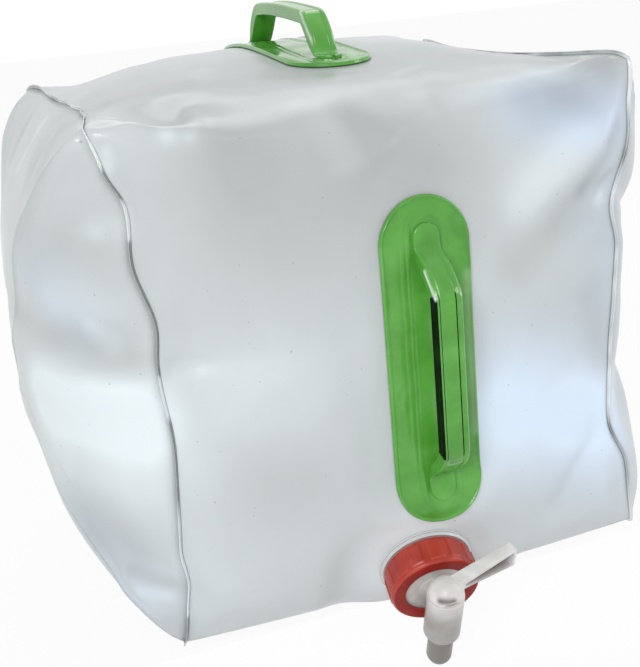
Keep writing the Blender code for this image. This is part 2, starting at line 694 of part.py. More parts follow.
def tapered_bar(name, length, start, width, side, root_low, root_high, tip_low, tip_high,
                collection, parent):
    """A bar along X whose height changes from root to tip; side shifts it along Y."""
    builder = bmesh.new()
    bmesh.ops.create_cube(builder, size=2.0)
    for vertex in builder.verts:
        at_tip = vertex.co.x > 0.0
        low = tip_low if at_tip else root_low
        high = tip_high if at_tip else root_high
        x = length if at_tip else start
        z = high if vertex.co.z > 0.0 else low
        vertex.co = Vector((x, side + vertex.co.y * width / 2, z))
    return as_cutter(add_object(name, mesh_from(name, builder), collection, parent=parent))


def lever_plug(parts, cutters, material, tap_frame):
    """Hollow plug, nozzle, dome and lever in one moulding that turns in the sleeve."""
    item = turned("lever_plug", plug_profile(), parts, SMALL_ROUND_STEPS, material, tap_frame,
                  closed=False)
    lever_frame = axis_empty("lever_direction", cutters, tap_frame)
    lever_frame.rotation_euler = (0.0, 0.0, math.radians(LEVER_TURN))
    low = SLEEVE_RISE + LEVER_LIFT
    bar = tapered_bar("lever_bar", LEVER_LENGTH, 0.0, LEVER_WIDTH, 0.0, low,
                      low + LEVER_ROOT_HEIGHT, low, low + LEVER_TIP_HEIGHT, cutters, lever_frame)
    pocket_low = low + LEVER_WALL
    pocket = tapered_bar("lever_pocket", LEVER_LENGTH - LEVER_WALL, DOME_RADIUS, LEVER_WIDTH,
                         -LEVER_WALL, pocket_low, pocket_low + LEVER_WALL,
                         pocket_low, low + LEVER_TIP_HEIGHT - LEVER_WALL, cutters, lever_frame)
    combine(item, bar, "UNION")
    combine(item, pocket, "DIFFERENCE")
    combine(item, dome_scoop(cutters, tap_frame), "DIFFERENCE")
    combine(item, plug_port(cutters, tap_frame), "DIFFERENCE")
    return item


def dome_scoop(cutters, tap_frame):
    """The hollow in the front of the dome, just over the sleeve's rim."""
    builder = bmesh.new()
    bmesh.ops.create_uvsphere(builder, u_segments=16, v_segments=10, radius=1.0)
    bmesh.ops.scale(builder, verts=builder.verts, vec=(SCOOP_DEPTH, SCOOP_WIDTH, SCOOP_HEIGHT))
    scoop = as_cutter(add_object("dome_scoop", mesh_from("dome_scoop", builder), cutters,
                                 parent=tap_frame))
    turn = math.radians(SCOOP_TURN)
    scoop.rotation_euler = (0.0, 0.0, turn)
    scoop.location = (DOME_RADIUS * math.cos(turn), DOME_RADIUS * math.sin(turn), SLEEVE_RISE)
    return scoop


def plug_port(cutters, tap_frame):
    """The side port, which faces left when shut and the barrel after a quarter turn."""
    port = cylinder("plug_port", BARREL_BORE_RADIUS - PLUG_CLEARANCE, 0.0,
                    SLEEVE_BORE_RADIUS + CUT_OVERRUN, cutters, tap_frame, SMALL_ROUND_STEPS)
    port.rotation_euler = (0.0, -QUARTER_TURN, 0.0)
    return port


def plug_o_ring(name, height, parts, material, tap_frame):
    """Seal in the plug's groove."""
    floor = SLEEVE_BORE_RADIUS - PLUG_CLEARANCE - O_RING_GROOVE_DEPTH
    centre = floor + O_RING_ROOM + O_RING_WIRE / 2
    profile = []
    for step in range(WIRE_STEPS):
        angle = -2.0 * math.pi * step / WIRE_STEPS
        profile.append((centre + O_RING_WIRE / 2 * math.cos(angle),
                        height + O_RING_WIRE / 2 * math.sin(angle)))
    return turned(name, profile, parts, SMALL_ROUND_STEPS, material, tap_frame)


class FilmSeat:
    """Finds places on one side of the bag's film by their x and their z or y."""

    def __init__(self, columns, first, last, axis):
        self.columns = [column[first:last] for column in columns]
        self.axis = axis

    def on_column(self, column, along):
        sign = 1.0 if column[-1][self.axis] > column[0][self.axis] else -1.0
        for start, end in zip(column, column[1:]):
            if (end[self.axis] - along) * sign >= 0.0:
                run = end[self.axis] - start[self.axis]
                return start.lerp(end, (along - start[self.axis]) / run)
        return column[-1].copy()

    def point(self, x, along):
        places = [self.on_column(column, along) for column in self.columns]
        for left, right in zip(places, places[1:]):
            if right.x >= x:
                return left.lerp(right, (x - left.x) / (right.x - left.x))
        return places[-1]

    def frame(self, x, along):
        """A place on the film with the direction straight out of it."""
        here = self.point(x, along)
        across = self.point(x + PROBE, along) - self.point(x - PROBE, along)
        up = self.point(x, along + PROBE) - self.point(x, along - PROBE)
        return here, across.cross(up).normalized()


def plate_rings(seat, centre_x, centre_along):
    """Cross-sections of a round-ended plate with a raised rim, laid on the film."""
    radius = HANDLE_WIDTH / 2
    straight = HANDLE_LENGTH / 2 - radius
    stations = []
    for step in range(PLATE_END_STEPS):
        angle = QUARTER_TURN * step / PLATE_END_STEPS
        stations.append((-straight - radius * math.cos(angle), radius * math.sin(angle)))
    for step in range(PLATE_RUN_STEPS + 1):
        stations.append((mix(-straight, straight, step / PLATE_RUN_STEPS), radius))
    for step in range(1, PLATE_END_STEPS + 1):
        angle = QUARTER_TURN * step / PLATE_END_STEPS
        stations.append((straight + radius * math.sin(angle), radius * math.cos(angle)))
    rim_share = 1.0 - HANDLE_RIM_WIDTH / radius
    inner_share = 1.0 - 2.0 * HANDLE_RIM_WIDTH / radius
    across_shares = (-1.0, -rim_share, -inner_share, -0.5, 0.0, 0.5, inner_share, rim_share, 1.0)
    rings = []
    for along, half in stations:
        ring = []
        for share in across_shares:
            depth = edge_distance(share * half, along, straight, radius)
            rise = HANDLE_RIM_RISE * rim_shape(depth)
            ring.append(lifted(seat, centre_x + share * half, centre_along + along,
                               HANDLE_SEAT + HANDLE_PLATE + rise))
        for share in reversed(across_shares):
            ring.append(lifted(seat, centre_x + share * half, centre_along + along, HANDLE_SEAT))
        rings.append(ring)
    return rings


def edge_distance(across, along, straight, radius):
    """How far inside the round-ended outline a place lies."""
    past = max(abs(along) - straight, 0.0)
    return radius - math.hypot(across, past)


def rim_shape(depth):
    """Full rim at its middle, half at the outer edge and none inside it."""
    share = depth / HANDLE_RIM_WIDTH
    if share < 1.0:
        return 0.5 + 0.5 * max(share, 0.0)
    return 1.0 - smoothstep(share - 1.0)


def lifted(seat, x, along, height):
    here, outward = seat.frame(x, along)
    return here + outward * height


def handle_base(name, seat, centre_x, centre_along, parts, material):
    """Round-ended plate welded to the film."""
    mesh = tube_mesh(name, plate_rings(seat, centre_x, centre_along))
    item = add_object(name, mesh, parts, material)
    smooth(item)
    return item


def strap_line():
    """The strap's middle line as (place along it, height over the film, depth of its section)."""
    floor = HANDLE_SEAT + HANDLE_PLATE + PIECE_GAP
    half_span = STRAP_SPAN / 2
    line = []
    for station in range(STRAP_STATIONS + 1):
        along = mix(-half_span, half_span, station / STRAP_STATIONS)
        past_foot = half_span - abs(along) - STRAP_FOOT_LENGTH
        rise = STRAP_CLEAR_HEIGHT * smoothstep(past_foot / STRAP_LEG_RUN)
        depth = mix(STRAP_FOOT_DEPTH, STRAP_DEPTH, smoothstep(2.0 * past_foot / STRAP_LEG_RUN))
        line.append((along, floor + rise + depth / 2, depth))
    return line


def handle_strap(name, seat, centre_x, centre_along, parts, material):
    """Deep flexible grip whose two flat feet are welded to the plate."""
    line = strap_line()
    rings = []
    for index, (along, out, depth) in enumerate(line):
        before = line[max(index - 1, 0)]
        after = line[min(index + 1, len(line) - 1)]
        run = Vector((after[0] - before[0], after[1] - before[1])).normalized()
        ring = []
        for across_share, depth_share in STRAP_OUTLINE_SHARES:
            side = across_share * STRAP_WIDTH / 2
            lift = depth_share * depth / 2
            here, outward = seat.frame(centre_x, centre_along + along - run.y * lift)
            ring.append(here + outward * (out + run.x * lift) + Vector((side, 0.0, 0.0)))
        rings.append(ring)
    item = add_object(name, tube_mesh(name, rings), parts, material)
    smooth(item)
    return item


def axis_empty(name, collection, parent=None):
    empty = bpy.data.objects.new(name, None)
    collection.objects.link(empty)
    empty.parent = parent
    return empty


def build_carrier():
    clear_scene()
    parts = new_collection("water_carrier")
    cutters = new_collection("cutters")
    clear_film = plastic("clear_film", FILM_COLOUR, 0.25, 0.6)
    green_vinyl = plastic("green_vinyl", HANDLE_COLOUR, 0.2, 0.2)
    clear_vinyl = plastic("clear_vinyl", NECK_COLOUR, 0.25, 0.4)
    red_plastic = plastic("red_plastic", RING_COLOUR, 0.35)
    white_plastic = plastic("white_plastic", TAP_COLOUR, 0.35)
    seal_rubber = plastic("seal_rubber", SEAL_COLOUR, 0.6)

    neck_frame = axis_empty("neck_axis", parts)
    neck_frame.matrix_world = neck_matrix()
    tap_frame = axis_empty("tap_axis", parts, neck_frame)
    tap_frame.location = (0.0, 0.0, SLEEVE_DISTANCE)
    tap_frame.rotation_euler = (-QUARTER_TURN, 0.0, 0.0)

    columns = film_columns()
    wrap_panel(columns, neck_frame, parts, cutters, clear_film)
    side_panel("left_side_panel", columns[0], -1.0, SIDE_SWELL_LEFT, parts, clear_film)
    side_panel("right_side_panel", columns[-1], 1.0, SIDE_SWELL_RIGHT, parts, clear_film)

    side = len(SIDE_SHARES)
    front_seat = FilmSeat(columns, side - SEAT_MARGIN_STEPS, 2 * side + SEAT_MARGIN_STEPS, 2)
    top_seat = FilmSeat(columns, 2 * side - SEAT_MARGIN_STEPS, 3 * side + SEAT_MARGIN_STEPS + 1, 1)
    for name, seat, x, along in (("front", front_seat, FRONT_HANDLE_X, FRONT_HANDLE_Z),
                                 ("top", top_seat, TOP_HANDLE_X, TOP_HANDLE_Y)):
        handle_base(name + "_handle_base", seat, x, along, parts, green_vinyl)
        handle_strap(name + "_handle_strap", seat, x, along, parts, green_vinyl)

    spout_neck(parts, cutters, clear_vinyl, neck_frame)
    neck_gasket(parts, seal_rubber, neck_frame)
    cap_ring(parts, cutters, red_plastic, neck_frame)
    tap_body(parts, cutters, white_plastic, tap_frame, neck_frame)
    lever_plug(parts, cutters, white_plastic, tap_frame)
    plug_o_ring("upper_o_ring", O_RING_OFFSET, parts, seal_rubber, tap_frame)
    plug_o_ring("lower_o_ring", -O_RING_OFFSET, parts, seal_rubber, tap_frame)
    bpy.context.view_layer.update()


build_carrier()
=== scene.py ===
import math

import bpy
import numpy as np
from mathutils import Matrix, Vector
from mathutils.bvhtree import BVHTree


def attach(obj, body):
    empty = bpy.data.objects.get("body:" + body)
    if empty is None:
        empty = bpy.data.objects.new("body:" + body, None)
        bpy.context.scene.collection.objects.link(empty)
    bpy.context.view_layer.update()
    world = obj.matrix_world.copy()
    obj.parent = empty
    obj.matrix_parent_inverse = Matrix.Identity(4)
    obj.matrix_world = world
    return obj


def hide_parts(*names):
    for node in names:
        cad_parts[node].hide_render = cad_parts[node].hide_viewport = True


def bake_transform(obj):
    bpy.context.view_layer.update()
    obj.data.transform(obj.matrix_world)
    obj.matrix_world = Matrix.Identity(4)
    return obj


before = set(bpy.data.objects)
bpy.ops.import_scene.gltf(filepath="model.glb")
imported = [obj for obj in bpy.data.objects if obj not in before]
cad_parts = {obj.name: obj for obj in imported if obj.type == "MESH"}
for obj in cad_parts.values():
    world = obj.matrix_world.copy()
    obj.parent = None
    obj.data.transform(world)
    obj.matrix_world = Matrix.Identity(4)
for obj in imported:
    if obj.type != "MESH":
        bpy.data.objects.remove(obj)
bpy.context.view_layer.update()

MM = 0.001
TINY = 1e-12
QUARTER_TURN = math.pi / 2

# The camera stands where the photograph was taken from
CAMERA_PLACE = (-0.209376, -0.627869, 0.341084)
CAMERA_ANGLES = (71.7113, 5.0789, -20.0748)
LENS_MM = 59.3703
SENSOR_MM = 36.0

# Film of the filled bag: the same formula and sizes as its solids
BAG_WIDTH = 280.0 * MM
BAG_DEPTH = 260.0 * MM
BAG_HEIGHT = 275.0 * MM
FILM = 0.6 * MM
BASE_DROP = 12.0 * MM
BASE_SAG = 3.0 * MM
CROWN_RISE = 13.0 * MM
CROWN_FALL = 11.0 * MM
CROWN_PEAK_SHARE = 0.45
CROWN_FALL_SHARE = 1.2
FRONT_SWELL = 16.0 * MM
BACK_SWELL = 13.0 * MM
SEAM_BOW_LEFT = 19.0 * MM
SEAM_BOW_RIGHT = 12.0 * MM
SEAM_DRAW_IN = 5.0 * MM
PILLOW_POWER = 2.6
MIDDLE_POWER = 5.0
MIDDLE_LOW_POWER = 6.0
SEAM_POWER = 22.0
SEAM_LOW_POWER = 38.0
SEAM_WANDER = 12.0 * MM
WANDER_POWER = 6.0
SIDE_SWELL_LEFT = 54.0 * MM
SIDE_SWELL_RIGHT = 40.0 * MM
SIDE_SLUMP = 15.0 * MM
SIDE_CLEARANCE = 0.6 * MM
SIDE_TIP_RISE = 0.3 * MM
DOME_POWER = 2.7
DOME_FULLNESS = 0.75
WAVE_RISE = 1.1 * MM
CREASE_RISE = 3.6 * MM
CREASE_WIDTH = 14.0 * MM
CALM_RUN = 20.0 * MM
CALM_MARGIN = 5.0 * MM
# Shifts of each seam along X, as shares of SEAM_WANDER, by sides passed from the low rear corner
LEFT_WANDER = ((0.0, 0.0), (0.85, -0.1), (1.0, 0.65), (1.11, 0.5), (1.2, 0.05), (1.56, -0.3),
               (1.64, -0.12), (1.75, -0.4), (1.86, 0.05), (1.92, -0.3), (2.3, -0.8),
               (2.63, -1.0), (3.0, -0.25), (4.0, 0.0))
RIGHT_WANDER = ((0.0, 0.0), (1.0, 0.0), (1.14, 0.2), (1.24, -0.4), (1.53, 0.2), (1.63, 0.3),
                (1.72, -0.1), (1.84, 0.4), (1.93, 0.1), (2.05, -0.1), (2.5, 0.0), (4.0, 0.0))
# Waves of the film: how many fit the bag along X, Y and Z, the start and the rise of each
WAVE_SHARES = ((1.1, 0.6, -1.3, 0.15, 1.0), (-1.7, 0.9, 1.1, 0.6, 0.9),
               (2.3, -1.4, 0.7, 0.35, 0.7), (0.8, 2.4, 2.1, 0.8, 0.6),
               (-2.6, 1.9, -1.5, 0.5, 0.5), (1.5, -2.2, 3.0, 0.05, 0.5))
# Main creases: both ends as shares of half the width, half the depth and the height, rise, width
CREASE_SHARES = (
    ((-0.78, -0.86, 0.99), (-0.64, -0.68, 0.99), -1.3, 1.0),
    ((-0.93, -0.92, 0.99), (-0.66, -1.0, 0.95), 0.9, 0.7),
    ((-0.61, -0.87, 0.97), (-0.64, -0.6, 1.0), 0.7, 0.7),
    ((0.2, -0.97, 0.95), (-0.2, -1.07, 0.87), 0.7, 0.8),
    ((0.2, -1.0, 0.9), (0.0, -1.07, 0.85), -0.6, 0.8),
    ((0.98, -0.98, 0.9), (0.56, -1.08, 0.77), 0.8, 0.8),
    ((0.93, -0.98, 0.78), (0.64, -1.06, 0.7), -0.8, 0.8),
    ((0.9, -1.0, 0.27), (0.62, -1.05, 0.14), -0.9, 0.8),
    ((0.86, -1.0, 0.21), (0.74, -1.0, 0.09), 0.6, 0.7),
    ((-1.09, -0.83, 0.16), (-0.94, -0.98, 0.18), 0.8, 0.7),
    ((-0.86, -1.0, 0.18), (-0.66, -1.02, 0.1), 0.5, 0.8),
    ((-1.3, -0.34, 0.61), (-0.98, -0.93, 0.63), -0.8, 1.3),
    ((-0.85, -0.97, 0.61), (-0.42, -1.1, 0.58), -0.6, 1.2),
    ((-1.14, -0.28, 0.83), (-1.02, -0.88, 0.85), 0.7, 0.8),
)
# Grid of the film: columns from seam to seam, steps along each side, rings of an end, how both
# crowd towards the seams, and how soon the rings' corners soften
COLUMNS = 140
SIDE_STEPS = 88
DOME_RINGS = 44
EDGE_CROWDING = 1.35
RING_CROWDING = 0.9
RING_SOFTENING = 0.45
# Waves that start at a seam: length along it, share of the phase, reach away from it and rise
PUCKERS = ((0.019, 1.0, 8.0 * MM, 0.22 * MM), (0.037, 1.3, 20.0 * MM, 0.45 * MM),
           (0.083, 1.0, 46.0 * MM, 0.9 * MM))
PUCKER_START = 2.5 * MM
PUCKER_WANDER = 1.4
PUCKER_WANDER_LENGTH = 0.055
PUCKER_STRENGTH = 0.5
PUCKER_SWING = 0.6
PUCKER_SWING_LENGTH = 0.05
PUCKER_MOST = 1.6
# Folds that spread from the seams' corners: how far out they are deepest, and their rise
FANS = ((15.0 * MM, 0.35 * MM), (40.0 * MM, 0.55 * MM))
# Their phase for each radian in broad and in fine folds, the fine ones' share, and the turn of
# phase from corner to corner
BROAD_FOLDS = 5.0
FINE_FOLDS = 9.0
FINE_FOLD_SHARE = 0.4
FOLD_TURN = 1.7
# Slow and quick unevenness of the film: rise, shortest wave and seed
UNEVENNESS = ((0.35 * MM, 0.05, 12), (0.07 * MM, 0.016, 14))
UNEVEN_FROM_SEAM = 24.0 * MM
FINE_FROM_SEAM = 6.0 * MM
# Seeds of the film's left and right half, and how sharply one passes into the other
LEFT_SEED, RIGHT_SEED = 3, 7
HALVES_BLEND = 4.0
SEAM_WAVE_RISE = 0.3 * MM
SEAM_WAVE_LENGTH = 0.045
SEAM_WAVE_HOLD = 7.0 * MM

# Neck, in the frame whose Z runs out along it
NECK_PLACE = (3.7 * MM, -133.7 * MM, 27.2 * MM)
NECK_TILT = 22.5
NECK_YAW = -7.8
NECK_BORE_RADIUS = 16.6 * MM
NECK_CORE_RADIUS = 19.6 * MM
NECK_HEIGHT = 14.2 * MM
NECK_BASE = 0.3 * MM
FLANGE_RADIUS = 26.6 * MM
FLANGE_TOP = 1.3 * MM
COLLAR_RADIUS = 25.2 * MM
COLLAR_FOOT = 1.5 * MM
COLLAR_TOP = 2.9 * MM
COLLAR_TAPER = 0.25 * MM
FLAT_FILM_RADIUS = 33.0 * MM
PULLED_FILM_RADIUS = 66.0 * MM
THREAD_PITCH = 4.0 * MM
THREAD_HEIGHT = 1.4 * MM
THREAD_START = 5.05 * MM
THREAD_FLANK = 0.5 * MM
THREAD_TURNS = 2
# Half of the thread's foot as a count of flanks, and how it starts
THREAD_FOOT = 1.5
THREAD_RUN_IN = 1.0 * MM
THREAD_FADE = 1.5 * MM
NECK_STEPS = 144

# Screw ring
RING_OUTER_RADIUS = 24.6 * MM
RING_BACK = 3.6 * MM
RING_LIP_LOW = 18.1 * MM
RING_FRONT = 20.1 * MM
RING_HOLE_RADIUS = 17.2 * MM
RING_BORE_RADIUS = 21.3 * MM
RING_BEVEL = 1.1 * MM
RING_FRONT_DEPTH = 0.12 * MM
RING_STEPS = 336
RING_PANELS = 14
RING_PANEL_RISE = 0.7 * MM
# Each panel's share of its pitch, and its distances from the ring's back and front
RING_PANEL_SHARE = (0.14, 0.84)
RING_PANEL_INSET = (1.9 * MM, 2.4 * MM)
RING_THREAD_SPAN = (5.0 * MM, 17.0 * MM)
ON_WALL = 0.05 * MM

# Tap
DISC_LOW = 16.0 * MM
DISC_THICKNESS = 1.8 * MM
DISC_RADIUS = 20.5 * MM
SLEEVE_DISTANCE = 33.0 * MM
SLEEVE_RADIUS = 10.0 * MM
SLEEVE_BORE_RADIUS = 7.6 * MM
SLEEVE_RISE = 14.0 * MM
SLEEVE_DROP = 20.0 * MM
SLEEVE_BEVEL = (1.7 * MM, 2.6 * MM)
SLEEVE_CUT = 40.0 * MM
BARREL_IN_DISC = 0.5 * MM
BARREL_RADIUS = 8.4 * MM
BARREL_BORE_RADIUS = 5.2 * MM
PLUG_RADIUS = 7.3 * MM
NOZZLE_RADIUS = 7.0 * MM
NOZZLE_BORE_RADIUS = 4.9 * MM
NOZZLE_LENGTH = 22.5 * MM
NOZZLE_RIBS = 3
NOZZLE_RIB_RISE = 0.22 * MM
NOZZLE_RIB_PITCH = 1.5 * MM
NOZZLE_RIB_HEIGHT = 0.7 * MM
# Distances under the sleeve of the collar's edge, the nozzle's start and its first rib, and the
# outlet's bevels as (inwards, upwards)
COLLAR_DROP = 0.6 * MM
NOZZLE_DROP = 1.4 * MM
RIBS_DROP = 2.2 * MM
OUTLET_BEVELS = ((0.0, 3.4 * MM), (0.3 * MM, 2.4 * MM), (1.4 * MM, 0.0))
PLUG_COLLAR = 1.1 * MM
TURNING_GAP = 0.3 * MM
DOME_RADIUS = 9.7 * MM
DOME_STEPS = 14
PORT_RADIUS = 4.9 * MM
PORT_REACH = 12.0 * MM
LEVER_TURN = 15.5
LEVER_LENGTH = 41.5 * MM
LEVER_WIDTH = 6.8 * MM
LEVER_WALL = 1.6 * MM
LEVER_LIFT = 1.8 * MM
LEVER_TAPER = 0.2 * MM
LEVER_POCKET_ROOT = 1.9 * MM
LEVER_ROOT_HEIGHT = 6.6 * MM
LEVER_TIP_HEIGHT = 12.6 * MM
SCOOP_ANGLE = -84.0
SCOOP_SIZE = (2.2 * MM, 6.4 * MM, 4.4 * MM)
# Grain of the rounded mouldings, and how often they are smoothed
HOUSING_VOXEL = 0.35 * MM
LEVER_VOXEL = 0.32 * MM
SMOOTHING = 3

# Handles
HANDLE_LENGTH = 175.0 * MM
HANDLE_WIDTH = 49.0 * MM
HANDLE_PLATE = 1.2 * MM
HANDLE_SEAT = 0.5 * MM
STRAP_WIDTH = 14.6 * MM
STRAP_DEPTH = 7.0 * MM
STRAP_FOOT_DEPTH = 2.0 * MM
STRAP_FOOT_LENGTH = 11.0 * MM
STRAP_SPAN = 148.0 * MM
STRAP_LEG_RUN = 24.0 * MM
STRAP_CLEAR_HEIGHT = 16.0 * MM
STRAP_FINE_RUN = 42.0 * MM
STRAP_FOOT_ROUND = 7.3 * MM
STRAP_TIP_SHARE = 0.12
STRAP_SEAT = 0.3 * MM
STRAP_END_STEPS = 64
STRAP_MIDDLE_STEPS = 40
# Where each handle's middle lies: x and z on the front, x and y on the top
FRONT_HANDLE = (9.0 * MM, 146.0 * MM)
TOP_HANDLE = (7.0 * MM, 28.0 * MM)


def smoothstep(share):
    share = np.clip(share, 0.0, 1.0)
    return share * share * (3.0 - 2.0 * share)


def bell(distance, width):
    return np.exp(-(distance / width) ** 2)


def waves(points, length, seed, count=16):
    """Smooth noise of about unit size: sines of many directions, none shorter than the length."""
    longest, full_phase = 2.3, 6.28
    random = np.random.RandomState(seed)
    total = np.zeros(len(points))
    for _ in range(count):
        direction = random.normal(size=points.shape[1])
        direction /= np.linalg.norm(direction)
        scale = random.uniform(1.0, longest) * length
        phase = random.uniform(0.0, full_phase)
        total += np.sin(points @ direction * 2.0 * math.pi / scale + phase)
    return total / math.sqrt(count / 2.0)


def neck_matrix():
    turn = Matrix.Rotation(math.radians(NECK_YAW), 4, "Z")
    tilt = Matrix.Rotation(QUARTER_TURN + math.radians(NECK_TILT), 4, "X")
    return Matrix.Translation(NECK_PLACE) @ turn @ tilt


def tap_matrix():
    """Frame of the sleeve: Z up the sleeve, Y back to the bag."""
    place = Matrix.Translation((0.0, 0.0, SLEEVE_DISTANCE))
    return neck_matrix() @ place @ Matrix.Rotation(-QUARTER_TURN, 4, "X")


def transformed(points, matrix):
    m = np.array(matrix)
    return points @ m[:3, :3].T + m[:3, 3]


# Mesh helpers

def linked(name, data):
    """An object of the scene for a mesh, a light or a camera."""
    item = bpy.data.objects.new(name, data)
    bpy.context.scene.collection.objects.link(item)
    return item


def object_from(name, points, faces, material, smooth=True):
    mesh = bpy.data.meshes.new(name)
    mesh.from_pydata([tuple(p) for p in points], [], [tuple(f) for f in faces])
    mesh.validate()
    if smooth:
        mesh.shade_smooth()
    mesh.materials.append(material)
    return linked(name, mesh)


def quad_grid(rows, columns, close_rows=False, close_columns=False):
    """Vertex numbers of the quads of a grid stored row by row."""
    r = np.arange(rows if close_rows else rows - 1)
    c = np.arange(columns if close_columns else columns - 1)
    r, c = np.meshgrid(r, c, indexing="ij")
    r_next = (r + 1) % rows
    c_next = (c + 1) % columns
    quads = np.stack([r * columns + c, r_next * columns + c, r_next * columns + c_next,
                      r * columns + c_next], axis=-1)
    return quads.reshape(-1, 4)


def shell(name, outer, inner, quads, material):
    """A closed skin with both faces and the rims of every open edge."""
    count = len(outer)
    edges = {}
    for quad in quads:
        for start, end in zip(quad, np.roll(quad, -1)):
            if (end, start) in edges:
                del edges[(end, start)]
            else:
                edges[(start, end)] = True
    rims = [(end, start, start + count, end + count) for start, end in edges]
    faces = [tuple(quad) for quad in quads]
    faces += [tuple(reversed(quad + count)) for quad in quads]
    faces += rims
    return object_from(name, np.concatenate([outer, inner]), faces, material)


def grid_normals(points, rows, columns, close_columns):
    """Directions square to a grid surface, along row step crossed with column step."""
    grid = points.reshape(rows, columns, 3)
    along = np.gradient(grid, axis=0)
    if close_columns:
        around = (np.roll(grid, -1, axis=1) - np.roll(grid, 1, axis=1)) / 2
    else:
        around = np.gradient(grid, axis=1)
    normals = np.cross(along, around).reshape(-1, 3)
    length = np.linalg.norm(normals, axis=1, keepdims=True)
    return normals / np.maximum(length, TINY)


# Shape of the film

def loop_places(v):
    """Place on the unit square for v from 0 to 4 round the bag, from its low rear corner."""
    turn = np.floor(v).astype(int) % 4
    share = (v - np.floor(v)) * 2.0 - 1.0
    y = np.choose(turn, [-share, -np.ones_like(v), share, np.ones_like(v)])
    z = np.choose(turn, [-np.ones_like(v), share, np.ones_like(v), -share])
    return y, z, 1.0 - share * share


def rounded(y, z, power):
    size = (np.abs(y) ** power + np.abs(z) ** power) ** (-1.0 / power)
    return y * size, z * size


def between(table, v):
    """Values of a table of (place, value) pairs, with soft steps between them."""
    places, values = np.array(table).T
    first = np.clip(np.searchsorted(places, v) - 1, 0, len(places) - 2)
    share = (v - places[first]) / (places[first + 1] - places[first])
    return values[first] + (values[first + 1] - values[first]) * smoothstep(share)


def seam_places(v, side):
    """The welded seam on one side (-1 left, 1 right)."""
    return film_places(np.full_like(v, side), v)


def film_places(u, v):
    """Points on the smooth filled film, u from -1 at the left seam to 1 at the right one."""
    low = -BASE_SAG
    high = BASE_DROP + BAG_HEIGHT + CROWN_RISE
    y_share, z_share, bow_share = loop_places(v)
    pull = np.abs(u) ** PILLOW_POWER
    bow = np.where(u < 0.0, SEAM_BOW_LEFT, SEAM_BOW_RIGHT)
    power = np.where(z_share > 0.0, MIDDLE_POWER, MIDDLE_LOW_POWER)
    mid_y, mid_z = rounded(y_share, z_share, power)
    mid_y = mid_y * (BAG_DEPTH / 2 + np.where(y_share < 0.0, FRONT_SWELL, BACK_SWELL))
    fall = CROWN_FALL * smoothstep((CROWN_PEAK_SHARE - y_share) / CROWN_FALL_SHARE)
    mid_z = (low + high) / 2 + mid_z * (high - low) / 2 - fall * smoothstep(z_share)
    power = np.where(z_share > 0.0, SEAM_POWER, SEAM_LOW_POWER)
    seam_y, seam_z = rounded(y_share, z_share, power)
    inset = 1.0 - SEAM_DRAW_IN * bow_share / (BAG_DEPTH / 2)
    seam_y = seam_y * BAG_DEPTH / 2 * inset
    seam_z = BASE_DROP + BAG_HEIGHT / 2 * (1.0 + seam_z * inset)
    x = u * (BAG_WIDTH / 2 - bow * bow_share * np.abs(u))
    wander = np.where(u < 0.0, between(LEFT_WANDER, v), between(RIGHT_WANDER, v))
    x = x + SEAM_WANDER * wander * np.abs(u) ** WANDER_POWER
    points = np.stack([x, mid_y + (seam_y - mid_y) * pull, mid_z + (seam_z - mid_z) * pull], 1)
    return seated_at_neck(points)


def neck_reach(points):
    """Distance of each point from the neck's axis, and its height along it."""
    local = transformed(points, neck_matrix().inverted())
    return np.hypot(local[:, 0], local[:, 1]), local


def seated_at_neck(points):
    """Draw the film on to the plane of the neck's flange, and rest it on the base."""
    reach, local = neck_reach(points)
    near = local[:, 2] > -PULLED_FILM_RADIUS
    pull = smoothstep((reach - FLAT_FILM_RADIUS) / (PULLED_FILM_RADIUS - FLAT_FILM_RADIUS))
    local[:, 2] = np.where(near, local[:, 2] * pull, local[:, 2])
    points = np.where(near[:, None], transformed(local, neck_matrix()), points)
    points[:, 2] = np.maximum(points[:, 2], 0.0)
    return points


def stadium_depth(across, along, half_length, radius):
    """How far inside a round-ended outline a place lies; negative outside."""
    past = np.maximum(np.abs(along) - (half_length - radius), 0.0)
    return radius - np.hypot(across, past)


def calm(points):
    """1 where the film may crease, fading to 0 at the handles, the neck and the base."""
    reach, local = neck_reach(points)
    near = local[:, 2] > -PULLED_FILM_RADIUS
    free = np.where(near, smoothstep((reach - FLAT_FILM_RADIUS) / CALM_RUN), 1.0)
    for (x, along), axis, faces in ((FRONT_HANDLE, 2, points[:, 1] < 0.0),
                                    (TOP_HANDLE, 1, points[:, 2] > BAG_HEIGHT / 2)):
        depth = stadium_depth(points[:, 0] - x, points[:, axis] - along, HANDLE_LENGTH / 2,
                              HANDLE_WIDTH / 2)
        free = np.where(faces, free * smoothstep((-depth - CALM_MARGIN) / CALM_RUN), free)
    return free * smoothstep((points[:, 2] - BASE_DROP) / CALM_RUN)


def line_distance(points, start, end):
    """Distance of each point from a line between two places, and how far along it lies."""
    run = end - start
    share = np.clip((points - start) @ run / (run @ run), 0.0, 1.0)
    return np.linalg.norm(points - start - share[:, None] * run, axis=1), share


def main_relief(points):
    """The waves and main creases, which the solids have too."""
    places = points / (BAG_WIDTH, BAG_DEPTH, BAG_HEIGHT)
    rise = np.zeros(len(points))
    for *turns, start, height in WAVE_SHARES:
        rise += WAVE_RISE * height * np.sin(2.0 * math.pi * (places @ np.array(turns) + start))
    sizes = np.array((BAG_WIDTH / 2, BAG_DEPTH / 2, BASE_DROP + BAG_HEIGHT))
    for first, last, height, width in CREASE_SHARES:
        distance, _ = line_distance(points, np.array(first) * sizes, np.array(last) * sizes)
        rise += CREASE_RISE * height * bell(distance, CREASE_WIDTH * width)
    return rise


